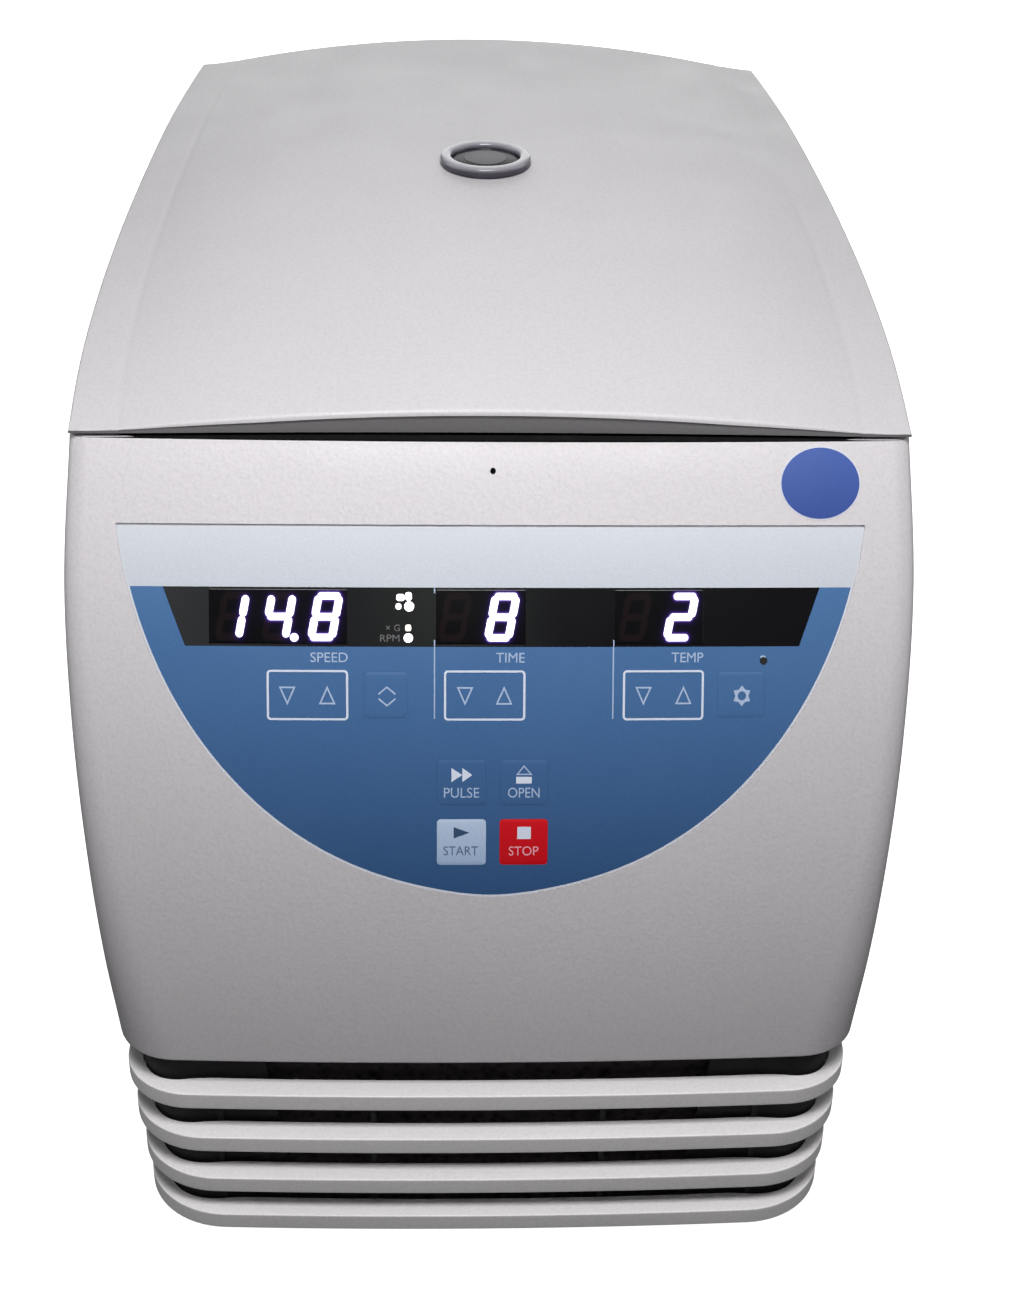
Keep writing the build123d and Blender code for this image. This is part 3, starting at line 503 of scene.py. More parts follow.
MAT["lens"] = lens_mat()
MAT["window"] = window_mat()
MAT["digit"] = glow_mat("led_white", (0.96, 0.93, 1.0, 1), 1.6)
MAT["led_warm"] = glow_mat("led_warm", (1.0, 0.95, 0.72, 1), 1.0)


def clear(name, rgb, rough=0.08, trans=0.75, spec=0.6):
    m = Mat(name, rough, 0.0, spec)
    m.b.inputs["IOR"].default_value = 1.49
    m.b.inputs["Transmission Weight"].default_value = trans
    c = lin(*rgb)
    m.color(m.ramp(m.noise(45.0, 3.0), [(0.3, scaled(c, 0.95)), (0.7, c)]))
    m.rough(m.span(m.noise(160.0, 4.0, 0.7), 0.35, 0.75, rough, rough + 0.1))
    m.bump(m.noise(500.0, 2.0), 0.04, 0.00005)
    return m.m




def clear_ring():
    """Clear ring with painted light: a painted dark reflection where its wall stands and a painted highlight on its
    rounded top.
    """
    m = Mat("bezel_clear", 0.12, 0.0, 0.6)
    m.b.inputs["IOR"].default_value = 1.49
    m.b.inputs["Transmission Weight"].default_value = 0.3
    z = lid_c(Y_AX) * MM
    g = m.ramp(m.span(m.axis(2), z - 0.001, z + 0.003, 0.0, 1.0), [(0.0, lin(48, 45, 58)), (0.48, lin(78, 74, 88)), (0.8, lin(170, 168, 178)), (1.0, lin(216, 215, 221))])
    m.color(m.mix(0.5, g, m.ramp(m.noise(90.0, 3.0, 0.6), [(0.3, 0.86), (0.7, 1.06)]), "MULTIPLY"))
    m.rough(m.span(m.noise(160.0, 4.0, 0.7), 0.35, 0.75, 0.1, 0.2))
    m.bump(m.noise(500.0, 2.0), 0.04, 0.00005)
    return m.m


MAT["glass"] = clear("window_smoke", (24, 23, 30), 0.12, 0.1, 0.06)
MAT["disc_grey"] = moulded("window_centre", (100, 98, 102), 0.5, 0.2)


# ================================================================= mesh helpers
def link(ob):
    SCENE.collection.objects.link(ob)
    return ob


def make(name, verts, faces, mat, body, angle=35.0, unit=MM):
    me = bpy.data.meshes.new(name)
    me.from_pydata([(x * unit, y * unit, z * unit) for x, y, z in verts], [], faces)
    bm = bmesh.new()
    bm.from_mesh(me)
    bmesh.ops.remove_doubles(bm, verts=bm.verts, dist=2e-7)
    bmesh.ops.dissolve_degenerate(bm, edges=bm.edges, dist=1e-7)
    bmesh.ops.recalc_face_normals(bm, faces=bm.faces)
    bm.to_mesh(me)
    bm.free()
    for p in me.polygons:
        p.use_smooth = True
    me.set_sharp_from_angle(angle=math.radians(angle))
    ob = link(bpy.data.objects.new(name, me))
    me.materials.append(MAT[mat] if isinstance(mat, str) else mat)
    if body:
        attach(ob, body)
    return ob


def weighted(ob, weight=60):
    w = ob.modifiers.new("weighted_normals", "WEIGHTED_NORMAL")
    w.weight = weight
    w.keep_sharp = True
    return ob


def settle(ob, angle=35.0):
    """Turns the modifiers so far into the mesh itself."""
    bpy.context.view_layer.update()
    dg = bpy.context.evaluated_depsgraph_get()
    me = bpy.data.meshes.new_from_object(ob.evaluated_get(dg), preserve_all_data_layers=True, depsgraph=dg)
    ob.modifiers.clear()
    ob.data = me
    bm = bmesh.new()
    bm.from_mesh(me)
    bmesh.ops.remove_doubles(bm, verts=bm.verts, dist=1e-6)
    bmesh.ops.dissolve_degenerate(bm, edges=bm.edges, dist=1e-6)
    bm.to_mesh(me)
    bm.free()
    for p in me.polygons:
        p.use_smooth = True
    me.set_sharp_from_angle(angle=math.radians(angle))
    return ob


def cut(ob, cutters, angle=35.0):
    for c in cutters:
        mod = ob.modifiers.new("cut", "BOOLEAN")
        mod.operation = "DIFFERENCE"
        mod.solver = "EXACT"
        mod.object = c
    settle(ob, angle)
    for c in cutters:
        bpy.data.objects.remove(c)
    return ob


def joined(name, parts, mat, body, angle=35.0):
    verts, faces = [], []
    for v, f in parts:
        n = len(verts)
        verts += v
        faces += [tuple(i + n for i in q) for q in f]
    return make(name, verts, faces, mat, body, angle)


def inside(p, poly):
    x, y = p
    c = False
    j = len(poly) - 1
    for i in range(len(poly)):
        xi, yi = poly[i]
        xj, yj = poly[j]
        if (yi > y) != (yj > y) and x < (xj - xi) * (y - yi) / (yj - yi) + xi:
            c = not c
        j = i
    return c


def near(p, poly, d):
    x, y = p
    for i in range(len(poly)):
        (x0, y0), (x1, y1) = poly[i - 1], poly[i]
        dx, dy = x1 - x0, y1 - y0
        t = max(0.0, min(1.0, ((x - x0) * dx + (y - y0) * dy) / max(dx * dx + dy * dy, 1e-9)))
        if math.hypot(x - x0 - t * dx, y - y0 - t * dy) < d:
            return True
    return False


def dense(loop, longest=2.0):
    """The same closed loop with no edge longer than longest."""
    out = []
    for i in range(len(loop)):
        a, b = loop[i], loop[(i + 1) % len(loop)]
        n = max(1, math.ceil(math.hypot(b[0] - a[0], b[1] - a[1]) / longest))
        out += [(a[0] + (b[0] - a[0]) * k / n, a[1] + (b[1] - a[1]) * k / n) for k in range(n)]
    return out


def dense_like(loop, ref, longest=2.0):
    """The same closed loop, its edges divided as dense() divides those of a reference loop."""
    out = []
    for i in range(len(loop)):
        a, b = loop[i], loop[(i + 1) % len(loop)]
        p, q = ref[i], ref[(i + 1) % len(ref)]
        n = max(1, math.ceil(math.hypot(q[0] - p[0], q[1] - p[1]) / longest))
        out += [(a[0] + (b[0] - a[0]) * k / n, a[1] + (b[1] - a[1]) * k / n) for k in range(n)]
    return out


def fill(outer, holes=(), step=5.0):
    """A flat mesh of a region with holes, with inner points so that it can follow a curved front."""
    outer, holes = dense(outer), [dense(h) for h in holes]
    pts, edges = [], []
    for loop in [outer, *holes]:
        n = len(pts)
        pts += [Vector(p) for p in loop]
        edges += [(n + i, n + (i + 1) % len(loop)) for i in range(len(loop))]
    xs, ys = [p[0] for p in outer], [p[1] for p in outer]
    if step:
        y = min(ys) + step * 0.5
        while y < max(ys):
            x = min(xs) + step * 0.5
            while x < max(xs):
                p = (x, y)
                if inside(p, outer) and not near(p, outer, step * 0.3) and not any(inside(p, h) or near(p, h, step * 0.3) for h in holes):
                    pts.append(Vector(p))
                x += step
            y += step
    v, e, f, *_ = delaunay_2d_cdt(pts, edges, [], 0, 1e-6)
    v = [(p.x, p.y) for p in v]
    keep = []
    for t in f:
        c = (sum(v[i][0] for i in t) / len(t), sum(v[i][1] for i in t) / len(t))
        if inside(c, outer) and not any(inside(c, h) for h in holes):
            keep.append(tuple(t))
    return v, keep


def thick(flat, d0, d1):
    """A flat region laid on the front, from depth d0 down to depth d1."""
    v, f = flat
    n = len(v)
    verts = [surf(x, z, d0) for x, z in v] + [surf(x, z, d1) for x, z in v]
    used = {}
    for q in f:
        for i in range(len(q)):
            a, b = q[i], q[(i + 1) % len(q)]
            k = (min(a, b), max(a, b))
            used.setdefault(k, []).append((a, b))
    faces = [tuple(q) for q in f] + [tuple(n + i for i in reversed(q)) for q in f]
    for k, u in used.items():
        if len(u) == 1:
            a, b = u[0]
            faces.append((b, a, n + a, n + b))
    return verts, faces


def rrect(x0, x1, z0, z1, r, n=5):
    pts = []
    for cx, cz, a0 in ((x1 - r, z1 - r, 0), (x0 + r, z1 - r, 90), (x0 + r, z0 + r, 180), (x1 - r, z0 + r, 270)):
        for i in range(n + 1):
            a = math.radians(a0 + 90 * i / n)
            pts.append((cx + r * math.cos(a), cz + r * math.sin(a)))
    return pts


def disc2(cx, cz, rx, rz=None, n=40):
    rz = rz or rx
    return [(cx + rx * math.cos(2 * math.pi * i / n), cz + rz * math.sin(2 * math.pi * i / n)) for i in range(n)]


def band(outer, inner):
    """A flat strip between two loops of as many points."""
    a, b = [], []
    for i in range(len(outer)):
        p, q, u, v = outer[i], outer[(i + 1) % len(outer)], inner[i], inner[(i + 1) % len(inner)]
        m = max(1, math.ceil(math.hypot(q[0] - p[0], q[1] - p[1]) / 2.0))
        a += [(p[0] + (q[0] - p[0]) * k / m, p[1] + (q[1] - p[1]) * k / m) for k in range(m)]
        b += [(u[0] + (v[0] - u[0]) * k / m, u[1] + (v[1] - u[1]) * k / m) for k in range(m)]
    n = len(a)
    return a + b, [(i, (i + 1) % n, n + (i + 1) % n, n + i) for i in range(n)]


def stroke(points, width, closed=True):
    n = len(points)
    left, right = [], []
    for i in range(n):
        p = points[i]
        a = points[i - 1] if (closed or i > 0) else None
        b = points[(i + 1) % n] if (closed or i < n - 1) else None
        dirs = []
        if a is not None:
            d = (p[0] - a[0], p[1] - a[1])
            dirs.append((d[0] / math.hypot(*d), d[1] / math.hypot(*d)))
        if b is not None:
            d = (b[0] - p[0], b[1] - p[1])
            dirs.append((d[0] / math.hypot(*d), d[1] / math.hypot(*d)))
        tx, tz = sum(d[0] for d in dirs) / len(dirs), sum(d[1] for d in dirs) / len(dirs)
        l = math.hypot(tx, tz)
        tx, tz = tx / l, tz / l
        nx, nz = -tz, tx
        k = width / 2 / max(0.35, abs(-dirs[0][1] * nx + dirs[0][0] * nz))
        left.append((p[0] + nx * k, p[1] + nz * k))
        right.append((p[0] - nx * k, p[1] - nz * k))
    if closed:
        return band(left, right)
    return left + right, [(i, i + 1, n + i + 1, n + i) for i in range(n - 1)]


def polygon(points):
    return fill(points, (), 0)


def text_flat(body, cx, cz, width, height, weight=0.0):
    cu = bpy.data.curves.new("lettering", "FONT")
    cu.body = body
    cu.resolution_u = 4
    cu.offset = weight
    ob = link(bpy.data.objects.new("lettering", cu))
    bpy.context.view_layer.update()
    dg = bpy.context.evaluated_depsgraph_get()
    me = bpy.data.meshes.new_from_object(ob.evaluated_get(dg))
    bm = bmesh.new()
    bm.from_mesh(me)
    bmesh.ops.remove_doubles(bm, verts=bm.verts, dist=1e-5)
    bmesh.ops.triangulate(bm, faces=bm.faces)
    v = [(p.co.x, p.co.y) for p in bm.verts]
    bm.verts.index_update()
    f = [tuple(p.index for p in q.verts) for q in bm.faces]
    bm.free()
    bpy.data.objects.remove(ob)
    x0, x1 = min(p[0] for p in v), max(p[0] for p in v)
    y0, y1 = min(p[1] for p in v), max(p[1] for p in v)
    sx, sy = width / (x1 - x0), height / (y1 - y0)
    return [(cx + (p[0] - (x0 + x1) / 2) * sx, cz + (p[1] - (y0 + y1) / 2) * sy) for p in v], f


def print_on(name, flats, mat, body, top, thickness=0.02):
    """Ink laid on a surface whose depth is top."""
    return joined(name, [thick(f, top - thickness, top) for f in flats], mat, body, 60.0)


def lathe(profile, cx, cy, n=96):
    """Solid of revolution of a closed (r, z) outline about the vertical through cx, cy."""
    verts, faces, m = [], [], len(profile)
    for i in range(n):
        a = 2 * math.pi * i / n
        for r, z in profile:
            verts.append((cx + r * math.cos(a), cy + r * math.sin(a), z))
    for i in range(n):
        j = (i + 1) % n
        for k in range(m):
            l = (k + 1) % m
            faces.append((i * m + k, i * m + l, j * m + l, j * m + k))
    return verts, faces


def arc(cx, cz, r, a0, a1, n=5):
    return [(cx + r * math.cos(math.radians(a0 + (a1 - a0) * i / n)), cz + r * math.sin(math.radians(a0 + (a1 - a0) * i / n)))
            for i in range(n + 1)]


def brick(x0, x1, y0, y1, z0, z1):
    v = [(x, y, z) for x in (x0, x1) for y in (y0, y1) for z in (z0, z1)]
    return v, [(0, 1, 3, 2), (4, 6, 7, 5), (0, 4, 5, 1), (2, 3, 7, 6), (0, 2, 6, 4), (1, 5, 7, 3)]


# ================================================================= control field: outlines in front view
OV = [(127.6, 259.7), (126.0, 250.0), (123.7, 240.7), (118.5, 225.6), (109.3, 206.9), (95.8, 187.8),
      (75.4, 168.1), (53.4, 154.6), (22.0, 144.4), (0.0, 141.8)]


def smooth_run(pts, per=7):
    """Points of a smooth curve through pts."""
    s = [0.0]
    for a, b in zip(pts, pts[1:]):
        s.append(s[-1] + math.hypot(b[0] - a[0], b[1] - a[1]))
    fx, fz = curve(s, [p[0] for p in pts]), curve(s, [p[1] for p in pts])
    out = []
    for i in range(len(pts) - 1):
        out += [(fx(s[i] + (s[i + 1] - s[i]) * k / per), fz(s[i] + (s[i + 1] - s[i]) * k / per)) for k in range(per)]
    return out + [pts[-1]]


FULL = OV + [(-x, z) for x, z in reversed(OV[:-1])]
ARC = smooth_run(FULL)


def grown(loop, g, top=None):
    out = []
    for x, z in loop:
        dx, dz = x, z - 262.0
        n = math.hypot(dx, dz)
        out.append((x + g * dx / n, z + g * dz / n))
    if top is not None:
        out = [(x, min(z, top)) for x, z in out]
    return out


def field_loop(g, top=259.7):
    """Closed outline of the control field, g wider along its arc, with a straight top."""
    run = [p for p in grown(ARC, g) if p[1] < top - 0.2]
    return [(run[0][0] + 0.02, top)] + run + [(run[-1][0] - 0.02, top)]


ROW = (201.4, 215.2)
KEYS = {
    "key_speed_down": (-76.1, -63.052, *ROW), "key_speed_up": (-63.048, -50.0, *ROW),
    "key_speed_mode": (-44.0, -28.9, 201.0, 215.6),
    "key_time_down": (-15.7, -2.452, *ROW), "key_time_up": (-2.448, 10.8, *ROW),
    "key_temp_down": (45.7, 58.888, *ROW), "key_temp_up": (58.892, 72.1, *ROW),
    "key_precool": (77.6, 94.0, 201.0, 215.6),
    "key_pulse": (-18.9, -1.9, 172.8, 187.8), "key_open": (2.8, 19.5, 172.8, 187.8),
    "key_start": (-18.9, -1.9, 152.9, 168.3), "key_stop": (2.8, 19.5, 152.9, 168.3),
}
LENS = [(-112.0, 241.4), (112.3, 241.4), (105.5, 223.4), (-104.6, 223.4)]
INK = 0.28             # depth of the printed surface


# ================================================================= housing
def housing():
    vents = [34.0 + 9 * i for i in range(9)]
    zr = sorted(set([8.0, 9.6, 14.0, 20.0, 27.0, 80.0, 77.0] + vents + [v + 3.6 for v in vents]
                    + [114.0 + 5 * i for i in range(34)] + [283.0, 285.0]))
    zr = [z for z in zr if z <= 285.0]
    cols = list(range(-(I_END - 1), I_END))
    verts, idx = [], {}
    for skin, inset in ((0, 0.0), (1, WALL)):
        cache = {}

        def line(z):
            if z not in cache:
                cache[z] = half_outline(z, inset)
            return cache[z]
        for j, z in enumerate(zr):
            for c in cols:
                i = abs(c)
                zz = z
                if i >= I_H and z > 240:
                    y = HINGE[i - I_H] if i < I_R else 216.0
                    top = 288.0 - math.sqrt(14.8 ** 2 - (190 - y) ** 2) if y < 190 else 273.2
                    top = min(top, 285.0)
                    zz = round(240 + (z - 240) * (top - 240) / 45.0, 4)
                x, y = line(zz)[i]
                if i < NF and z > 282.0:            # the front edge hollows a little towards the middle
                    zz = z - 0.75 * (1 - (i / NF) ** 2)
                idx[(skin, c, j)] = len(verts)
                verts.append((x if c >= 0 else -x, y, zz))
    faces, used = [], {}
    for j in range(len(zr) - 1):
        for c in cols[:-1]:
            i = c if c >= 0 else -c - 1
            if zr[j + 1] <= 80.0 and i < I_B:
                continue
            if I_C <= i < I_D and any(v - 0.01 < zr[j] and zr[j + 1] < v + 3.61 for v in vents):
                continue
            quad = [(c, j), (c + 1, j), (c + 1, j + 1), (c, j + 1)]
            faces.append(tuple(idx[(0, *q)] for q in quad))
            faces.append(tuple(idx[(1, *q)] for q in reversed(quad)))
            for k in range(4):
                a, b = quad[k], quad[(k + 1) % 4]
                key = (min(a, b), max(a, b))
                used[key] = used.get(key, 0) + 1
    rim = [k for k, n in used.items() if n == 1]
    for a, b in rim:
        faces.append((idx[(0, *a)], idx[(0, *b)], idx[(1, *b)], idx[(1, *a)]))
    me = bpy.data.meshes.new("housing_skin")
    me.from_pydata([(x * MM, y * MM, z * MM) for x, y, z in verts], [], faces)
    bm = bmesh.new()
    bm.from_mesh(me)
    bm.verts.ensure_lookup_table()
    bmesh.ops.recalc_face_normals(bm, faces=bm.faces)
    main, small = [], []
    last = I_R - 1
    for a, b in rim:
        i0, i1 = abs(a[0]), abs(b[0])
        if max(i0, i1) > last:
            continue
        at_vent = I_C <= min(i0, i1) and max(i0, i1) <= I_D and 0 < min(a[1], b[1]) and max(a[1], b[1]) < len(zr) - 1
        for skin in (0, 1):
            e = bm.edges.get((bm.verts[idx[(skin, *a)]], bm.verts[idx[(skin, *b)]]))
            if e:
                (small if at_vent else main).append(e)
    bmesh.ops.bevel(bm, geom=main, offset=0.7 * MM, offset_type="OFFSET", segments=5, profile=0.5, affect="EDGES", clamp_overlap=False)
    small = [e for e in small if e.is_valid]
    if small:
        bmesh.ops.bevel(bm, geom=small, offset=0.35 * MM, offset_type="OFFSET", segments=2, profile=0.5, affect="EDGES", clamp_overlap=False)
    loose = [v for v in bm.verts if not v.link_faces]
    bmesh.ops.delete(bm, geom=loose, context="VERTS")
    bmesh.ops.recalc_face_normals(bm, faces=bm.faces)
    bad = sum(1 for e in bm.edges if len(e.link_faces) != 2)
    print("housing edges not closed:", bad)
    bm.to_mesh(me)
    bm.free()
    ob = link(bpy.data.objects.new("housing_skin", me))
    me.materials.append(MAT["housing"])
    for p in me.polygons:
        p.use_smooth = True
    # recess of the control field, wells of the keys, display window, release hole
    recess = joined("cut_a", [thick(fill(field_loop(0.06, 260.1), (), 6.0), -3.0, 1.15)], "housing", None)
    wells = []
    for k, (x0, x1, z0, z1) in KEYS.items():
        if k.endswith("_up"):
            continue
        if k.endswith("_down"):
            x1 = KEYS[k.replace("_down", "_up")][1]
        wells.append(thick(fill(rrect(x0 - 0.3, x1 + 0.3, z0 - 0.3, z1 + 0.3, 1.0), (), 6.0), 0.8, 9.0))
    wells.append(thick(fill(rrect(-98, 74, 225.2, 240.2, 1.0), (), 6.0), 0.8, 9.0))
    wells.append(thick(fill(disc2(0.1, 275.8, 1.0, 1.0, 24), (), 0), -3.0, 9.0))
    holes = joined("cut_b", wells, "housing", None)
    cut(ob, [recess, holes], 42.0)
    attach(ob, "cabinet")
    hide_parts("housing_shell")
    weighted(ob, 70)
    return ob


def front_seal():
    """Sealing strip that lies on the front edge of the housing, under the lip of the lid; its near-black is painted
    shade for the shadow in the gap.
    """
    low, high = half_outline(284.0, 0.45), half_outline(284.0, 3.3)
    n = NF + 8
    cols = list(range(-n, n + 1))
    verts, faces = [], []
    for c in cols:
        i = abs(c)
        drop = 0.75 * (1 - (i / NF) ** 2) if i < NF else 0.0
        s = 1 if c >= 0 else -1
        for (x, y), z in ((low[i], 284.35 - drop), (low[i], 284.8), (high[i], 284.95), (high[i], 283.6 - drop)):
            verts.append((s * x, y, z))
    for j in range(len(cols) - 1):
        for k in range(4):
            l = (k + 1) % 4
            faces.append((j * 4 + k, j * 4 + l, (j + 1) * 4 + l, (j + 1) * 4 + k))
    faces.append((0, 1, 2, 3))
    m = (len(cols) - 1) * 4
    faces.append((m + 3, m + 2, m + 1, m))
    return make("front_edge_seal", verts, faces, "seal", "cabinet", 40.0)


# ================================================================= lid
def lid_c(y):
    t = min(1.0, (y - LID_Y0) / (LID_Y1 - LID_Y0))
    return 331.0 - 38.0 * (1 - t) ** 3.336 + 2.7 * (1 - t) ** 12


def lid_e(y):
    t = min(1.0, (y - LID_Y0) / (LID_Y1 - LID_Y0))
    return 317.7 - 30.1 * (1 - t) ** 2.0


def lid_s(y):
    t = max(0.0, min(1.0, (y - LID_Y0) / (LID_Y1 - LID_Y0)))
    return lid_e(y) + 0.6 + 1.6 * min(1.0, t / 0.35)


def lid_top(x, y, off):
    w = lid_half(y) - off
    ze, zs, zc = lid_e(y) - off, lid_s(y) - off, lid_c(y) - off
    xs = w - STRIP
    x = abs(x)
    rad = (xs * xs + (zc - zs) ** 2) / (2 * (zc - zs))
    crown = zc - rad + math.sqrt(max(rad * rad - x * x, 0))
    strip = zs + (ze - zs) * (x - xs) / STRIP
    if x < xs - 3:
        return crown
    if x > xs + 3:
        return strip
    k = 0.35                      # soft crease between crown and strip
    h = math.log(math.exp(crown / k - strip / k) + 1) * k + strip
    return h - k * math.log(2) * math.exp(-((x - xs) / 1.6) ** 2)


def lid_zb(y):
    if y <= 176.09 or y >= 203.91:
        return LID_ZB
    return min(LID_ZB, 288.0 - math.sqrt(196.0 - (y - 190.0) ** 2))


MAT["bezel"] = clear_ring()
CROWN_N = 34
WALL_Q = [0.0, 0.12, 0.3, 0.62, 1.0]


def lid_skin(off, stations, y0, y1, r_edge, r_front, r_rear, undercut):
    """Vertices and faces of one skin of the lid, open below, and its bottom loop."""

    top_last = CROWN_N + 12                 # index of the end of the edge rounding

    def section(y):
        w = lid_half(y) - off
        xs = w - STRIP
        ze = lid_e(y) - off
        zb = lid_zb(y)
        r = min(r_edge, 0.4 * (ze - zb))
        xx = [(xs - 2.4) * i / CROWN_N for i in range(CROWN_N)]
        xx += [xs - 2.4, xs - 1.2, xs, xs + 1.2, xs + 2.4]
        xx += [xs + 5.0, xs + 8.5, xs + 12.0, w - r]
        pts = [(x, lid_top(x, y, off)) for x in xx]
        za = pts[-1][1]
        for i in range(1, 5):
            a = math.radians(90 - 22.5 * i)
            pts.append((w - r + r * math.cos(a), za - r + r * math.sin(a)))
        zt = pts[-1][1]
        for q in WALL_Q[1:]:
            pts.append((w, zt + (zb - zt) * q))
        return pts

    verts, idx = [], {}

    def add(key, p):
        idx[key] = len(verts)
        verts.append(p)
        if key[0] != 0:
            idx[(-key[0],) + key[1:]] = len(verts)
            verts.append((-p[0], p[1], p[2]))

    s0, s1 = section(y0), section(y1)
    n = len(s0)
    w0, w1 = lid_half(y0) - off, lid_half(y1) - off

    def taper(x, w, d):
        return max(0.0, min(1.0, (w - x) / d))

    rf = [min(r_front, 0.3 * max(0.0, p[1] - LID_ZB)) * taper(p[0], w0, 6.0) if i <= top_last else 0.0 for i, p in enumerate(s0)]
    rr = [min(r_rear, 0.3 * max(0.0, p[1] - LID_ZB)) * taper(p[0], w1, 4.0) if i <= top_last else 0.0 for i, p in enumerate(s1)]
    uc = [undercut * max(0.0, s0[top_last][1] - p[1]) if i > top_last else 0.0 for i, p in enumerate(s0)]
    rows = []
    ys_first = [y0 + rf[i] + uc[i] for i in range(n)]
    ys_last = [y1 - rr[i] for i in range(n)]
    cache = {}

    def point(i, y):
        y = round(y, 5)
        if y not in cache:
            cache[y] = section(y)
        x, z = cache[y][i]
        return (x, y, z)
    # station rows
    for i in range(n):
        p = point(i, ys_first[i])
        if i > top_last:
            p = (s0[i][0], ys_first[i], s0[i][1])
        add((i, "s", 0), p)
        for j, y in enumerate(stations):
            add((i, "s", j + 1), point(i, y))
        add((i, "s", len(stations) + 1), point(i, ys_last[i]))
    ns = len(stations) + 2
    order = list(range(-(n - 1), n))
    faces = []

    def quad(a, b, c, d):
        q = []
        for k in (a, b, c, d):
            if idx[k] not in q:
                q.append(idx[k])
        if len(q) > 2:
            faces.append(tuple(q))
    for j in range(ns - 1):
        for c in order[:-1]:
            quad((c, "s", j), (c + 1, "s", j), (c + 1, "s", j + 1), (c, "s", j + 1))
    # front and rear faces: rounding rows, then straight rows down to the lower edge
    nb, nq = 4, len(WALL_Q)
    for end, ye, rad, sec, row in (("f", y0, rf, s0, 0), ("r", y1, rr, s1, ns - 1)):
        sign = 1 if end == "f" else -1
        for i in range(top_last + 1):
            x, z = sec[i]
            r = rad[i]
            a = verts[idx[(i, "s", row)]]
            c = (x, ye, z)
            b = (x, ye, z - r)
            for k in range(1, nb + 1):
                t = k / nb
                p = tuple(a[m] * (1 - t) ** 2 + 2 * c[m] * t * (1 - t) + b[m] * t * t for m in range(3))
                if r < 1e-6:
                    idx[(i, end, k)] = idx[(i, "s", row)]
                    idx[(-i, end, k)] = idx[(-i, "s", row)]
                else:
                    add((i, end, k), p)
            for k in range(1, nq):
                if i == top_last:
                    idx[(i, end, nb + k)] = idx[(i + k, "s", row)]
                    idx[(-i, end, nb + k)] = idx[(-i - k, "s", row)]
                    continue
                zz = b[2] + (LID_ZB - b[2]) * WALL_Q[k]
                add((i, end, nb + k), (x, ye + sign * undercut * (z - zz if end == "f" else 0.0), zz))
            idx[(i, end, 0)] = idx[(i, "s", row)]
            idx[(-i, end, 0)] = idx[(-i, "s", row)]
        for k in range(nb + nq - 1):
            for c in range(-top_last, top_last):
                quad((c, end, k), (c + 1, end, k), (c + 1, end, k + 1), (c, end, k + 1))
    # bottom loop
    loop = [idx[(c, "f", nb + nq - 1)] for c in range(-top_last, top_last + 1)]
    loop += [idx[(n - 1, "s", j)] for j in range(1, ns)]
    back = [idx[(c, "r", nb + nq - 1)] for c in range(top_last - 1, -top_last, -1)]
    loop += back
    loop += [idx[(-(n - 1), "s", j)] for j in range(ns - 1, 0, -1)]
    return verts, faces, loop


def lid():
    st = [-119.0, -116.0, -112.0, -106.0, -98.0, -90.0, -80.0, -70.0, -60.0, -50.0, -40.0, -30.0, -20.0, -10.0, 0.0, 10.0,
          20.0, 30.0, 40.0, 50.0, 60.0, 70.0, 80.0, 90.0, 100.0, 110.0, 120.0, 130.0, 140.0, 150.0, 160.0, 168.0, 174.0,
          176.1, 176.6, 177.5, 179.0, 181.0, 183.5, 186.5, 190.0, 193.5, 196.5, 198.5, 200.0, 201.4, 202.6]
    si = [-97.5, -97.0, -96.0, -94.5, -92.0, -88.0] + st[6:-3] + [199.4, 200.0, 200.5]
    ov, of_, ol = lid_skin(0.0, st, LID_Y0, LID_Y1, 1.1, 1.9, 1.4, 0.26)
    iv, if_, il = lid_skin(3.0, si, -98.0, 201.0, 0.5, 0.3, 0.3, 0.0)
    verts = ov + iv
    faces = of_ + [tuple(len(ov) + i for i in reversed(f)) for f in if_]
    n = len(ol)
    for k in range(n):
        a, b = ol[k], ol[(k + 1) % n]
        c, d = len(ov) + il[(k + 1) % n], len(ov) + il[k]
        if a == b and c == d:
            continue
        q = []
        for i in (a, b, c, d):
            if i not in q:
                q.append(i)
        faces.append(tuple(q))
    ob = make("lid_skin", verts, faces, "lid", None, 35.0)
    bm = bmesh.new()
    bm.from_mesh(ob.data)
    print("lid edges not closed:", sum(1 for e in bm.edges if len(e.link_faces) != 2))
    bm.free()
    wz = lid_c(Y_AX)
    hole = joined("cut_c", [lathe([(0.01, 262), (16.0, 262), (16.0, wz - 1.2), (18.1, wz - 1.2), (18.1, 345), (0.01, 345)], 0, Y_AX)], "lid", None)
    slots = joined("cut_d", [brick(s * 78.5 if s > 0 else -98.5, s * 98.5 if s > 0 else -78.5, 196, 212, 270, 298.5) for s in (-1, 1)], "lid", None)
    cut(ob, [hole, slots], 35.0)
    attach(ob, "lid")
    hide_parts("lid_shell")
    weighted(ob, 70)
    return ob


# ================================================================= louvres
LOUVRES = [(60.2, 67.3), (42.3, 49.4), (24.8, 31.8), (8.4, 15.5)]


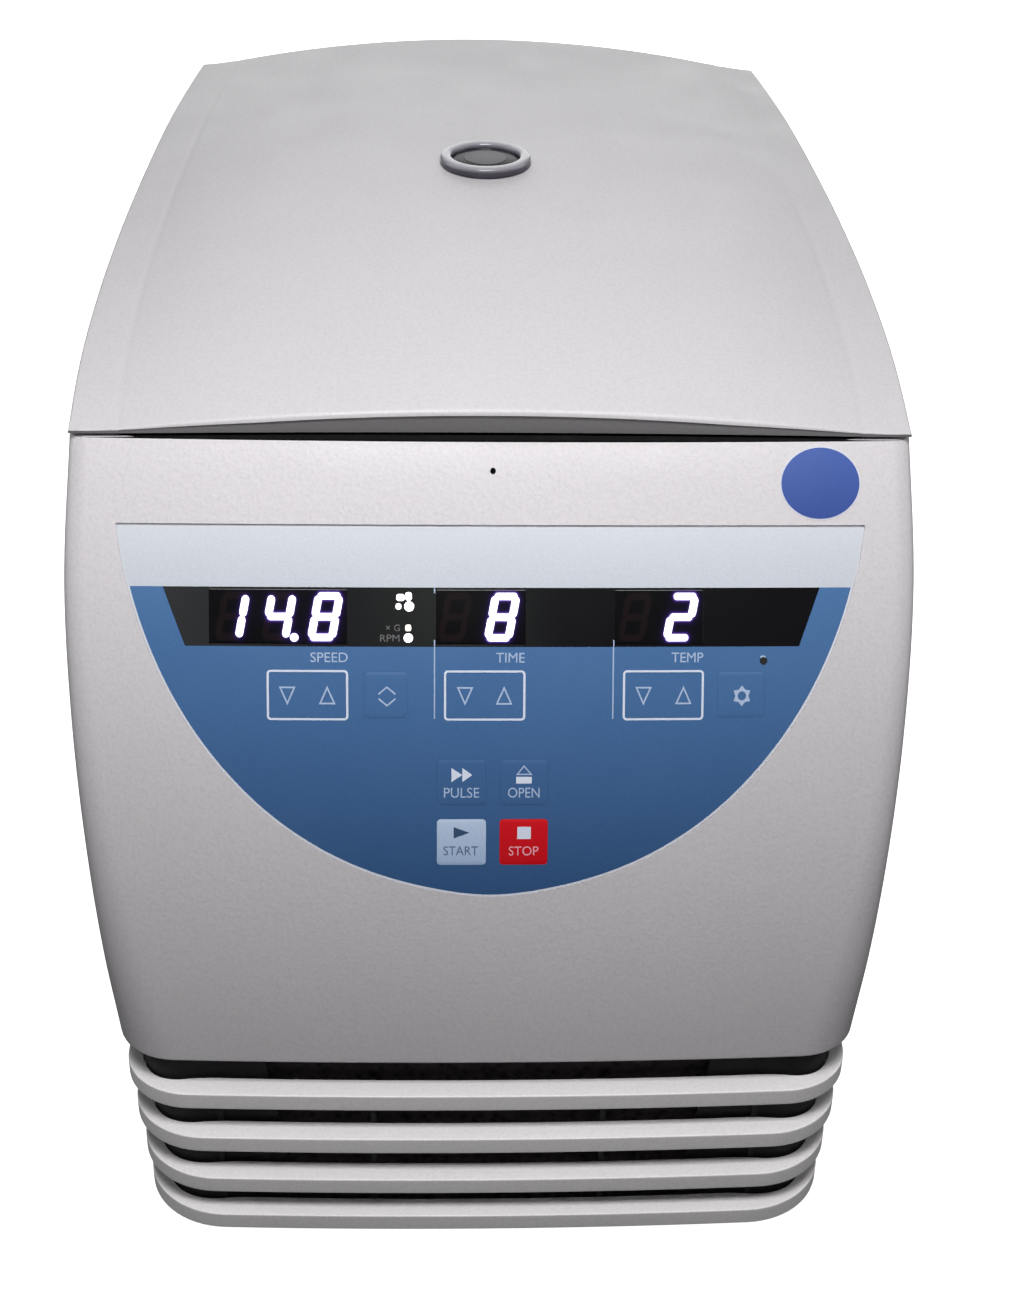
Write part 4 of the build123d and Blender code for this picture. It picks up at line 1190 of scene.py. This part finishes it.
def open_line(z, inset):
    """Outline of the louvre ring from one side edge, round the front, to the other."""
    y0, xa, sag, r, rad = face_arc(z, inset)
    hh = lambda y: half(y, z) - inset
    pts = [(xa * i / 30, y0 + rad - math.sqrt(rad * rad - (xa * i / 30) ** 2)) for i in range(30)]
    ya, a0 = y0 + sag, 2 * math.atan(sag / xa)
    yc = ya + r
    sl = (hh(yc + 1) - hh(yc - 1)) / 2
    n1 = math.hypot(sl, 1)
    k = 0.5523 * r
    c1 = [(xa, ya), (xa + k * math.cos(a0), ya + k * math.sin(a0)), (hh(yc) - k * sl / n1, yc - k / n1), (hh(yc), yc)]
    pts += [bez(c1, i / 16) for i in range(16)]
    pts += [(hh(y), y) for y in [yc + (-150.6 - yc) * i / 5 for i in range(6)]]
    return [(-x, y) for x, y in reversed(pts[1:])] + pts


def slimmer(k):
    """The louvres grow thinner round the corners: share of their depth at step k from the middle."""
    t = max(0.0, min(1.0, (k - 27) / 12))
    return 1 - 0.42 * t * t * (3 - 2 * t)


def louvres():
    parts = []
    for z0, z1 in LOUVRES:
        zc = (z0 + z1) / 2
        outer, inner = open_line(zc, 0.0), open_line(zc, 9.6)
        prof = []                               # (share of the way in, height)
        d = 9.6
        r = 0.55
        prof += [((r - r * math.cos(math.radians(a))) / d, z0 + r - r * math.sin(math.radians(a))) for a in (90, 60, 30, 0)]
        prof += [(0.0, z0 + (z1 - z0) * 0.35), (0.0, z0 + (z1 - z0) * 0.65)]
        prof += [((r - r * math.cos(math.radians(a))) / d, z1 - r + r * math.sin(math.radians(a))) for a in (0, 30, 60, 90)]
        prof += [(0.3, z1 - 0.2), (0.6, z1 - 0.5), (1 - 0.6 / d, z1 - 0.8), (1.0, z1 - 1.4), (1.0, z0 + 0.6), (1 - 0.6 / d, z0), (0.6, z0), (0.3, z0)]
        m, verts, faces = len(prof), [], []
        mid = len(outer) // 2
        for n, ((ox, oy), (ix, iy)) in enumerate(zip(outer, inner)):
            deep = slimmer(abs(n - mid))
            for s, z in prof:
                verts.append((ox + (ix - ox) * s * deep, oy + (iy - oy) * s * deep, z))
        for i in range(len(outer) - 1):
            for k in range(m):
                l = (k + 1) % m
                faces.append((i * m + k, i * m + l, (i + 1) * m + l, (i + 1) * m + k))
        faces.append(tuple(range(m)))
        faces.append(tuple((len(outer) - 1) * m + k for k in reversed(range(m))))
        parts.append((verts, faces))
    ribs = []
    for x in (-98, -42, 42, 98):                 # thin ribs that tie the louvres together, near-black as painted shade
        v, f, nz = [], [], 14
        for k in range(nz + 1):
            z = 8.6 + (66.2 - 8.6) * k / nz
            for ins in (8.6, 12.0):
                y0, xa, sag, r, rad = face_arc(z, ins)
                for xx in (x - 1, x + 1):
                    ax = min(abs(xx), xa)
                    v.append((xx, y0 + rad - math.sqrt(rad * rad - ax * ax), z))
        for k in range(nz):
            b = k * 4
            for q in ((0, 1, 5, 4), (1, 3, 7, 5), (3, 2, 6, 7), (2, 0, 4, 6)):
                f.append(tuple(b + i for i in q))
        f.append((0, 2, 3, 1))
        f.append((nz * 4, nz * 4 + 1, nz * 4 + 3, nz * 4 + 2))
        ribs.append((v, f))
    for s in (-1, 1):                            # uprights at the ends of the louvres, near-black as painted shade
        v, f, nz = [], [], 14
        for k in range(nz + 1):
            z = 8.6 + (66.2 - 8.6) * k / nz
            for y in (-156.0, -150.6):
                for ins in (3.2, 9.0):
                    v.append((s * (half(y, z) - ins), y, z))
        for k in range(nz):
            b = k * 4
            for q in ((0, 1, 5, 4), (1, 3, 7, 5), (3, 2, 6, 7), (2, 0, 4, 6)):
                f.append(tuple(b + i for i in q))
        f.append((0, 2, 3, 1))
        f.append((nz * 4, nz * 4 + 1, nz * 4 + 3, nz * 4 + 2))
        ribs.append((v, f))
    for s in (-1, 1):                            # baffle behind the corners, a near-black sheet put in as painted shade
        v, f = [], []
        rows = [8.6, 20.0, 32.0, 44.0, 56.0, 68.0, 78.0, 84.0]
        span = 0
        for z in rows:
            a, b = open_line(z, 0.0), open_line(z, 9.6)
            mid = len(a) // 2
            run = range(mid + 22, len(a))
            span = len(run)
            for off in (0.05, 0.16):
                for k in run:
                    t = slimmer(k - mid) + off
                    v.append((s * (a[k][0] + (b[k][0] - a[k][0]) * t), a[k][1] + (b[k][1] - a[k][1]) * t, z))
        w = 2 * span
        for j in range(len(rows) - 1):
            for k in range(span - 1):
                f.append((j * w + k, j * w + k + 1, (j + 1) * w + k + 1, (j + 1) * w + k))
                f.append((j * w + span + k, (j + 1) * w + span + k, (j + 1) * w + span + k + 1, j * w + span + k + 1))
            f.append((j * w, (j + 1) * w, (j + 1) * w + span, j * w + span))
            f.append((j * w + span - 1, j * w + 2 * span - 1, (j + 1) * w + 2 * span - 1, (j + 1) * w + span - 1))
        for j in (0, len(rows) - 1):
            for k in range(span - 1):
                f.append((j * w + k, j * w + span + k, j * w + span + k + 1, j * w + k + 1))
        ribs.append((v, f))
    joined("grille_ribs", ribs, "deep", "cabinet", 40.0)
    ob = joined("grille_skin", parts, "louvre", "cabinet", 40.0)
    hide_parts("front_grille")
    weighted(ob, 60)
    return ob


# ================================================================= control field
def control_field():
    holes = []
    for k, (x0, x1, z0, z1) in KEYS.items():
        if k.endswith("_up"):
            continue
        if k.endswith("_down"):
            x1 = KEYS[k.replace("_down", "_up")][1]
        holes.append(rrect(x0 - 0.04, x1 + 0.04, z0 - 0.04, z1 + 0.04, 0.4 if k.endswith("_down") else 1.3))
    lens_hole = [(-112.004, 241.404), (112.304, 241.404), (105.504, 223.396), (-104.604, 223.396)]
    base = joined("overlay_membrane", [thick(fill(field_loop(0.0, 259.45), holes + [lens_hole], 5.0), 0.3, 1.1)], "film", "cabinet", 50.0)
    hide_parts("control_overlay")
    # blue ink: below the pale strip, a little inside the edge of the film
    run = [p for p in grown(ARC, -0.75) if p[1] < 241.2]
    edge = [(run[0][0] + 0.1, 241.4)] + run + [(run[-1][0] - 0.1, 241.4)]
    left = [p for p in edge]
    # the lens touches the top of the blue field, so the outline goes round it
    ll = [(-112.0, 241.4), (-104.6, 223.4), (105.5, 223.4), (112.3, 241.4)]
    loop = edge + ll
    blue = print_on("overlay_blue", [fill(loop, holes, 4.0)], "blue", "cabinet", 0.3)
    strip_run = [p for p in grown(ARC, -0.3) if 241.5 < p[1] < 259.2]
    right = [p for p in strip_run if p[0] > 0]
    lft = [p for p in strip_run if p[0] < 0]
    s_loop = [(right[0][0] + 0.05, 259.4)] + right + [(right[-1][0] - 0.15, 241.45)] + [(lft[0][0] + 0.15, 241.45)] + lft + [(lft[-1][0] - 0.05, 259.4)]
    print_on("overlay_strip", [fill(s_loop, (), 4.0)], "strip", "cabinet", 0.3)

    # keys
    up = lambda cx, cz, w, h: [(cx, cz + h / 2), (cx - w / 2, cz - h / 2), (cx + w / 2, cz - h / 2)]
    down = lambda cx, cz, w, h: [(cx, cz - h / 2), (cx + w / 2, cz + h / 2), (cx - w / 2, cz + h / 2)]
    for k, (x0, x1, z0, z1) in KEYS.items():
        mat = {"key_start": "pale", "key_stop": "red"}.get(k, "blue")
        if k.endswith("_up") or k.endswith("_down"):
            rings = [(0.0, 3.4), (0.0, INK)]
            r = 0.4
        else:
            rings = [(0.0, 3.4), (0.0, 0.29), (0.15, 0.27), (0.35, 0.235), (0.6, 0.195), (0.9, 0.165), (1.3, 0.15)]
            r = 1.3
        verts, faces, m = [], [], 0
        ins = rings[-1][0]
        ref = rrect(x0 + ins, x1 - ins, z0 + ins, z1 - ins, max(r - ins * 0.6, 0.25))
        for ins, d in rings:
            loop2 = dense_like(rrect(x0 + ins, x1 - ins, z0 + ins, z1 - ins, max(r - ins * 0.6, 0.25)), ref)
            m = len(loop2)
            verts += [surf(x, z, d) for x, z in loop2]
        for g in range(len(rings) - 1):
            for i in range(m):
                j = (i + 1) % m
                faces.append((g * m + i, g * m + j, (g + 1) * m + j, (g + 1) * m + i))
        faces.append(tuple(reversed(range(m))))
        ins, d = rings[-1]
        cap = fill(rrect(x0 + ins, x1 - ins, z0 + ins, z1 - ins, max(r - ins * 0.6, 0.25)), (), 3.0)
        n = len(verts)
        verts += [surf(x, z, d) for x, z in cap[0]]
        faces += [tuple(n + i for i in q) for q in cap[1]]
        piece = make("cap_" + k, verts, faces, mat, k + "_body", 50.0)
        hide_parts(k)
    T = 0.15
    for name, cx, shape in (("key_speed_down", -70.0, down), ("key_speed_up", -56.4, up), ("key_time_down", -9.3, down),
                            ("key_time_up", 4.1, up), ("key_temp_down", 52.0, down), ("key_temp_up", 65.8, up)):
        print_on("mark_" + name, [stroke(shape(cx, 208.2, 4.9, 5.0), 0.52)], "print_dim", name + "_body", INK)
    # chevrons of the mode key
    cx, cz = -36.0, 208.2
    print_on("mark_key_speed_mode", [stroke([(cx - 2.9, cz + 0.5), (cx, cz + 2.7), (cx + 2.9, cz + 0.5)], 0.5, False),
                                     stroke([(cx - 2.9, cz - 0.9), (cx, cz - 3.1), (cx + 2.9, cz - 0.9)], 0.5, False)],
             "print_dim", "key_speed_mode_body", T)
    # frost star of the precool key
    cx, cz = 86.0, 208.0
    star, hole = [], []
    for i in range(24):
        a = math.radians(15 * i + 90)
        k = i % 4
        rr = (3.3, 2.6, 2.25, 2.6)[k]
        star.append((cx + rr * math.cos(a), cz + rr * math.sin(a)))
        hole.append((cx + 1.45 * math.cos(a), cz + 1.45 * math.sin(a)))
    print_on("mark_key_precool", [band(star, hole)], "print_dim", "key_precool_body", T)
    # pulse: two triangles; open: lid over a bar
    cx, cz = -10.4, 182.9
    print_on("mark_key_pulse", [polygon([(cx - 3.5, cz + 2.3), (cx - 3.5, cz - 2.3), (cx + 0.2, cz)]),
                                polygon([(cx + 0.25, cz + 2.3), (cx + 0.25, cz - 2.3), (cx + 3.7, cz)]),
                                ], "print", "key_pulse_body", T)
    print_on("word_key_pulse", [text_flat("PULSE", cx, 177.1, 12.2, 3.3)], "print_dim", "key_pulse_body", T)
    cx, cz = 11.1, 182.9
    print_on("mark_key_open", [polygon([(cx - 2.7, cz - 0.6), (cx - 2.7, cz - 2.8), (cx + 2.7, cz - 2.8), (cx + 2.7, cz - 0.6)]),
                               ], "print", "key_open_body", T)
    print_on("word_key_open", [stroke([(cx - 2.3, cz + 0.2), (cx + 2.5, cz + 0.2), (cx, cz + 2.9)], 0.42),
                               text_flat("OPEN", cx, 177.1, 10.9, 3.3)], "print_dim", "key_open_body", T)
    cx, cz = -10.9, 163.8
    print_on("mark_key_start", [polygon([(cx - 2.2, cz + 1.9), (cx - 2.2, cz - 1.9), (cx + 3.3, cz)])], "print_dark", "key_start_body", T)
    print_on("word_key_start", [text_flat("START", -10.6, 157.7, 12.0, 3.1)], "print_grey", "key_start_body", T)
    cx, cz = 11.3, 163.7
    print_on("mark_key_stop", [polygon([(cx - 2.35, cz + 2.05), (cx - 2.35, cz - 2.05), (cx + 2.35, cz - 2.05), (cx + 2.35, cz + 2.05)])], "print", "key_stop_body", T)
    print_on("word_key_stop", [text_flat("STOP", 11.2, 157.6, 10.3, 3.1)], "print_pink", "key_stop_body", T)

    # printing on the film
    boxes = []
    for x0, x1 in ((-77.0, -49.2), (-16.5, 11.4), (44.9, 72.8)):
        boxes.append(band(rrect(x0, x1, 200.4, 216.15, 1.3), rrect(x0 + 0.75, x1 - 0.75, 201.05, 215.5, 0.7)))
    print_on("overlay_frames", boxes, "print", "cabinet", INK)
    lines = [polygon([(x - 0.22, 223.4), (x - 0.22, 200.9), (x + 0.22, 200.9), (x + 0.22, 223.4)]) for x in (-19.75, 41.5)]
    print_on("overlay_lines", lines, "print_dim", "cabinet", INK)
    ticks = [polygon([(x - 0.2, z1), (x - 0.2, z0), (x + 0.2, z0), (x + 0.2, z1)]) for x, z0, z1 in ((-19.75, 223.5, 225.5), (-19.75, 239.7, 241.3), (41.6, 223.5, 225.5))]
    print_on("display_ticks", ticks, "print_dim", "cabinet", 0.3, 0.03)
    words = [text_flat("SPEED", -55.7, 220.1, 12.7, 3.0), text_flat("TIME", 6.2, 220.1, 9.8, 3.0),
             text_flat("TEMP", 67.0, 220.1, 10.9, 3.0)]
    print_on("overlay_words", words, "print_dim", "cabinet", INK)


def display():
    lens = joined("lens_plate", [thick(fill(LENS, (), 5.0), 0.3, 1.1)], "lens", "cabinet", 50.0)
    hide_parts("display_lens")
    H, W, SL = 12.6, 7.1, 0.21            # centre-line height and width of a digit, slant
    SEG = {"a": ((-1, 1), (1, 1)), "b": ((1, 1), (1, 0)), "c": ((1, 0), (1, -1)), "d": ((-1, -1), (1, -1)),
           "e": ((-1, 0), (-1, -1)), "f": ((-1, 1), (-1, 0)), "g": ((-1, 0), (1, 0))}
    FIG = {"1": "bc", "4": "fgbc", "8": "abcdefg", "2": "abged"}

    def seg_line(cx, cz, s):
        (u0, v0), (u1, v1) = SEG[s]
        p = [(u0 * W / 2, v0 * H / 2), (u1 * W / 2, v1 * H / 2)]
        dx, dz = p[1][0] - p[0][0], p[1][1] - p[0][1]
        l = math.hypot(dx, dz)
        g = 1.2 if u0 == u1 else 0.75
        p = [(p[0][0] + dx / l * g, p[0][1] + dz / l * g), (p[1][0] - dx / l * g, p[1][1] - dz / l * g)]
        return [(cx + x + SL * z, cz + z) for x, z in p]

    def capsule(a, b, r):
        ang = math.atan2(b[1] - a[1], b[0] - a[0])
        pts = []
        for c, s in ((b, -90), (a, 90)):
            for i in range(7):
                t = ang + math.radians(s + 30 * i)
                pts.append((c[0] + r * math.cos(t), c[1] + r * math.sin(t)))
        return pts
    digits = [("1", -88.6), ("4", -72.75), ("8", -56.9), ("8", 3.3), ("2", 64.6)]
    ghosts = [("8", -88.6), ("8", -72.75), ("8", -12.7), ("8", 48.8)]
    lit, dim = [], []
    for f, cx in digits:
        lit += [seg_line(cx, 232.5, s) for s in FIG[f]]
    for f, cx in ghosts:
        dim += [seg_line(cx, 232.5, s) for s in FIG[f]]
    lit_shapes = [polygon(capsule(a, b, 1.3 if abs(a[1] - b[1]) > 0.1 else 1.08)) for a, b in lit]
    dot = (-67.5, 226.15)
    lit_shapes.append(polygon(disc2(dot[0], dot[1], 1.45, 1.3, 20)))
    lit.append([(dot[0] - 0.01, dot[1]), (dot[0] + 0.01, dot[1])])
    print_on("display_digits", lit_shapes, "digit", "cabinet", 0.26, 0.03)

    def dist(p, seg):
        (x0, z0), (x1, z1) = seg
        dx, dz = x1 - x0, z1 - z0
        t = max(0.0, min(1.0, ((p[0] - x0) * dx + (p[1] - z0) * dz) / max(dx * dx + dz * dz, 1e-9)))
        return math.hypot(p[0] - x0 - t * dx, p[1] - z0 - t * dz)
    for n, (x0, x1) in enumerate([(-96.5, -49.5), (-19.3, 11.5), (41.8, 72.2)]):
        nx, nz = int((x1 - x0) / 0.35), 44
        z0, z1 = 224.2, 240.9
        verts2 = [(x0 + (x1 - x0) * i / nx, z0 + (z1 - z0) * j / nz) for j in range(nz + 1) for i in range(nx + 1)]
        faces2 = [(j * (nx + 1) + i, j * (nx + 1) + i + 1, (j + 1) * (nx + 1) + i + 1, (j + 1) * (nx + 1) + i) for j in range(nz) for i in range(nx)]
        verts, faces = thick((verts2, faces2), 0.27, 0.3)
        me = bpy.data.meshes.new("display_window_%d" % (n + 1))
        me.from_pydata([(x * MM, y * MM, z * MM) for x, y, z in verts], [], faces)
        near_lit = [s for s in lit if x0 - 6 < s[0][0] < x1 + 6]
        near_dim = [s for s in dim if x0 - 6 < s[0][0] < x1 + 6]
        glow = me.attributes.new("glow", "FLOAT", "POINT")
        ghost = me.attributes.new("ghost", "FLOAT", "POINT")
        gv, hv = [], []
        for p in verts2 + verts2:
            d = min(dist(p, s) for s in near_lit)
            soft = sum(math.exp(-max(dist(p, s) - 1.2, 0) / 1.1) for s in near_lit)
            gv.append(min(1.0, 0.8 * math.exp(-max(d - 1.1, 0) / 0.4) + 0.09 * soft))
            h = min([dist(p, s) for s in near_dim] or [9.0])
            hv.append(max(0.0, min(1.0, (1.25 - h) / 0.35)) * 0.5)
        glow.data.foreach_set("value", gv)
        ghost.data.foreach_set("value", hv)
        for q in me.polygons:
            q.use_smooth = True
        me.materials.append(MAT["window"])
        ob = link(bpy.data.objects.new(me.name, me))
        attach(ob, "cabinet")
    # status marks between speed and time
    cx, cz = -30.5, 237.1
    blobs = [polygon(rrect(-32.75, -29.95, 237.35, 239.45, 0.8)), polygon(rrect(-29.75, -27.5, 237.5, 240.0, 0.8)),
             polygon(rrect(-33.0, -31.05, 234.75, 236.65, 0.8)), polygon(disc2(-28.4, 235.7, 1.7, 1.55, 20))]
    print_on("display_marks", blobs, "digit", "cabinet", 0.3, 0.03)
    print_on("display_dot_lower", [polygon(disc2(-28.7, 226.1, 1.6, 1.45, 20))], "digit", "cabinet", 0.3, 0.03)
    print_on("display_dot_upper", [polygon(rrect(-29.75, -27.7, 228.2, 230.2, 0.7))], "led_warm", "cabinet", 0.3, 0.03)
    print_on("display_units", [text_flat("\u00d7 G", -33.9, 229.2, 4.7, 2.0), text_flat("RPM", -35.0, 226.05, 6.6, 2.1)],
             "print_faint", "cabinet", 0.3, 0.02)


def small_marks():
    dot = print_on("precool_lamp", [polygon(disc2(93.3, 219.0, 1.3, 1.25, 24))], "black", "cabinet", INK, 0.12)
    # painted highlight: a pale crescent of ink for the glint on the lamp's upper rim
    out = [(93.1 + 1.45 * math.cos(math.radians(t)), 219.2 + 1.45 * math.sin(math.radians(t))) for t in range(50, 146, 8)]
    inn = [(93.2 + 1.15 * math.cos(math.radians(t)), 219.0 + 1.15 * math.sin(math.radians(t))) for t in range(50, 146, 8)]
    print_on("precool_glint", [polygon(out + inn[::-1])], "print_dim", "cabinet", INK, 0.14)
    r0, r1 = disc2(112.2, 272.4, 13.95, 10.85, 72), disc2(112.2, 272.4, 13.45, 10.45, 72)
    base = joined("label_disc", [thick(fill(r0, (), 4.0), -0.13, 0.0)], "disc_rim", "cabinet", 50.0)
    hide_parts("round_label")
    print_on("label_face", [fill(r1, (), 4.0)], "disc", "cabinet", -0.13, 0.02)
    return dot


# ================================================================= lid window
def window():
    wz = lid_c(Y_AX)
    prof = [(13.2, wz - 1.15), (18.0, wz - 1.15), (18.0, wz + 0.9)] + arc(16.4, wz + 1.3, 1.6, 0, 90, 7)[0:] + [(15.2, wz + 2.95)] \
        + arc(14.9, wz + 1.6, 1.3, 90, 180, 6) + [(13.2, wz + 0.4)]
    ring = joined("window_bezel", [lathe(prof, 0, Y_AX, 120), lathe([(13.2, 318.0), (15.9, 318.0), (15.9, wz - 1.2), (13.2, wz - 1.2)], 0, Y_AX, 96)],
                  "bezel", "lid", 40.0)
    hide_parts("window_ring")
    dome = [(0.0, wz - 0.4), (13.1, wz - 0.4), (13.1, wz + 0.9)] + [(13.1 * math.cos(math.radians(a)), wz + 0.9 + 0.6 * math.sin(math.radians(a))) for a in (15, 30, 45, 60, 75)] + [(0.0, wz + 1.5)]
    lens = joined("window_glass", [lathe(dome, 0, Y_AX, 120)], "glass", "lid", 40.0)
    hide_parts("window_lens")
    joined("window_centre_disc", [lathe([(0.0, wz + 1.35), (8.4, wz + 1.35), (8.4, wz + 1.52), (8.1, wz + 1.6), (0.0, wz + 1.62)], 0, Y_AX, 80)], "disc_grey", "lid", 40.0)


# ================================================================= CAD nodes that stay
def dress(node, mat, bevel=0.0, seg=2, angle=35):
    ob = NODES[node]
    ob.data.materials.clear()
    ob.data.materials.append(MAT[mat])
    if bevel:
        w = ob.modifiers.new("weld", "WELD")
        w.merge_threshold = 1e-6
        b = ob.modifiers.new("round_edges", "BEVEL")
        b.width = bevel * MM
        b.segments = seg
        b.limit_method = "ANGLE"
        b.angle_limit = math.radians(angle)
        b.use_clamp_overlap = True
        weighted(ob, 60)


DRESS = {
    "air_filter": ("filter", 0), "base_pan": ("zinc", 0), "feet": ("rubber", 0), "rear_panel": ("rear", 0),
    "panel_screws": ("screw", 0), "power_inlet": ("black", 0.4), "switch_frame": ("black", 0.4), "top_deck": ("liner", 0),
    "deck_posts": ("zinc", 0), "chamber_bowl": ("bowl", 0), "chamber_gasket": ("gasket", 0), "evaporator_coil": ("copper", 0),
    "insulation_foam": ("foam", 0), "motor_housing": ("motor", 0), "motor_mount": ("zinc", 0), "motor_dampers": ("rubber", 0),
    "compressor": ("compressor", 0), "compressor_mounts": ("rubber", 0), "condenser": ("fins", 0), "fan_frame": ("black", 0),
    "filter_drier": ("copper", 0), "refrigerant_lines": ("copper", 0), "drive_unit": ("drive", 0), "latch_housing": ("black", 0.5),
    "display_board": ("pcb", 0), "keypad_board": ("pcb", 0), "hinge_brackets": ("steelpaint", 0.4), "hinge_pins": ("screw", 0),
    "lid_liner": ("liner", 0), "lid_screws": ("screw", 0), "sight_tube": ("black", 0), "latch_strikers": ("screw", 0.3),
    "hinge_arms": ("steelpaint", 0.4), "drive_spindle": ("screw", 0), "rotor_body": ("rotor", 0), "rotor_lid": ("rotor_lid", 0),
    "rotor_knob": ("black", 0.4), "fan_blades": ("black", 0), "latch_bar": ("screw", 0.3), "power_rocker": ("black", 0.4),
}

# ================================================================= camera, light, floor
YAW, PITCH, ROLL = 0.04174, 0.55646, 0.02302
d = Vector((math.sin(YAW) * math.cos(PITCH), math.cos(YAW) * math.cos(PITCH), -math.sin(PITCH)))
r = Vector((math.cos(YAW), -math.sin(YAW), 0))
u = r.cross(d)
right = math.cos(ROLL) * r + math.sin(ROLL) * u
upv = -math.sin(ROLL) * r + math.cos(ROLL) * u
cam_data = bpy.data.cameras.new("camera")
cam = link(bpy.data.objects.new("camera", cam_data))
cam_data.sensor_fit = "AUTO"
cam_data.sensor_width = 36.0
cam_data.lens = 2045.18 / 1293 * 36.0
cam_data.clip_start, cam_data.clip_end = 0.02, 60.0
rot = Matrix((right, upv, -d)).transposed().to_4x4()
cam.matrix_world = Matrix.Translation(Vector((-18.054, -749.165, 592.731)) * MM) @ rot
SCENE.camera = cam
SCENE.view_settings.view_transform = "Standard"


def area(name, loc, target, sx, sy, power, rgb=(1, 1, 1)):
    l = bpy.data.lights.new(name, "AREA")
    l.shape = "RECTANGLE"
    l.size, l.size_y = sx, sy
    l.energy = power
    l.color = rgb
    o = link(bpy.data.objects.new(name, l))
    o.location = loc
    o.rotation_mode = "QUATERNION"
    o.rotation_quaternion = (Vector(target) - Vector(loc)).to_track_quat("-Z", "Y")
    return o


area("key_light", (0.0, -0.50, 0.80), (0.0, -0.18, 0.2), 0.4, 0.2, 4.95, (1.0, 0.99, 0.995))
area("rear_light", (0.0, 0.80, 0.90), (0.0, 0.1, 0.3), 0.9, 0.4, 1.5, (0.98, 0.99, 1.0))
area("fill_left", (-1.3, 0.1, 0.5), (0, 0.02, 0.15), 1.0, 0.8, 4.0)
area("fill_right", (1.3, 0.1, 0.5), (0, 0.02, 0.15), 1.0, 0.8, 4.0)
area("fill_back", (0.1, 1.5, 0.5), (0, 0, 0.15), 1.2, 0.8, 5.0)

world = bpy.data.worlds.new("studio")
SCENE.world = world
world.use_nodes = True
wn = world.node_tree
wn.nodes.clear()
wo = wn.nodes.new("ShaderNodeOutputWorld")
tc = wn.nodes.new("ShaderNodeTexCoord")
sx = wn.nodes.new("ShaderNodeSeparateXYZ")
wn.links.new(tc.outputs["Generated"], sx.inputs[0])
cr = wn.nodes.new("ShaderNodeValToRGB")
mr = wn.nodes.new("ShaderNodeMapRange")
mr.inputs[1].default_value, mr.inputs[2].default_value = -1.0, 1.0
wn.links.new(sx.outputs[2], mr.inputs[0])
wn.links.new(mr.outputs[0], cr.inputs[0])
e = cr.color_ramp.elements
e[0].position, e[0].color = 0.42, (0.02, 0.02, 0.02, 1)
e[1].position, e[1].color = 0.85, (0.095, 0.095, 0.097, 1)
lightbg = wn.nodes.new("ShaderNodeBackground")
wn.links.new(cr.outputs[0], lightbg.inputs[0])
lightbg.inputs[1].default_value = 1.0
seenbg = wn.nodes.new("ShaderNodeBackground")
seenbg.inputs[0].default_value = (1, 1, 1, 1)
seenbg.inputs[1].default_value = 1.0
lp = wn.nodes.new("ShaderNodeLightPath")
mx = wn.nodes.new("ShaderNodeMixShader")
wn.links.new(lp.outputs["Is Camera Ray"], mx.inputs[0])
wn.links.new(lightbg.outputs[0], mx.inputs[1])
wn.links.new(seenbg.outputs[0], mx.inputs[2])
wn.links.new(mx.outputs[0], wo.inputs[0])


def floor():
    m = Mat("floor_paper", 0.9, 0.0, 0.1)
    m.color(m.ramp(m.noise(3.0, 4.0), [(0.3, (0.90, 0.90, 0.90, 1)), (0.7, (0.93, 0.93, 0.93, 1))]))
    m.b.inputs["Emission Color"].default_value = (1, 1, 1, 1)
    m.b.inputs["Emission Strength"].default_value = 1.05
    n, s = 48, 12.0
    verts = [(s * (i / n - 0.5), s * (j / n - 0.5), -0.0002) for j in range(n + 1) for i in range(n + 1)]
    faces = [(j * (n + 1) + i, j * (n + 1) + i + 1, (j + 1) * (n + 1) + i + 1, (j + 1) * (n + 1) + i) for j in range(n) for i in range(n)]
    me = bpy.data.meshes.new("floor")
    me.from_pydata(verts, [], faces)
    me.materials.append(m.m)
    ob = link(bpy.data.objects.new("floor", me))
    ob.visible_diffuse = False
    ob.visible_glossy = False


floor()
housing()
front_seal()
lid()
louvres()
control_field()
display()
small_marks()
window()
for node, (mat, bev) in DRESS.items():
    dress(node, mat, bev)
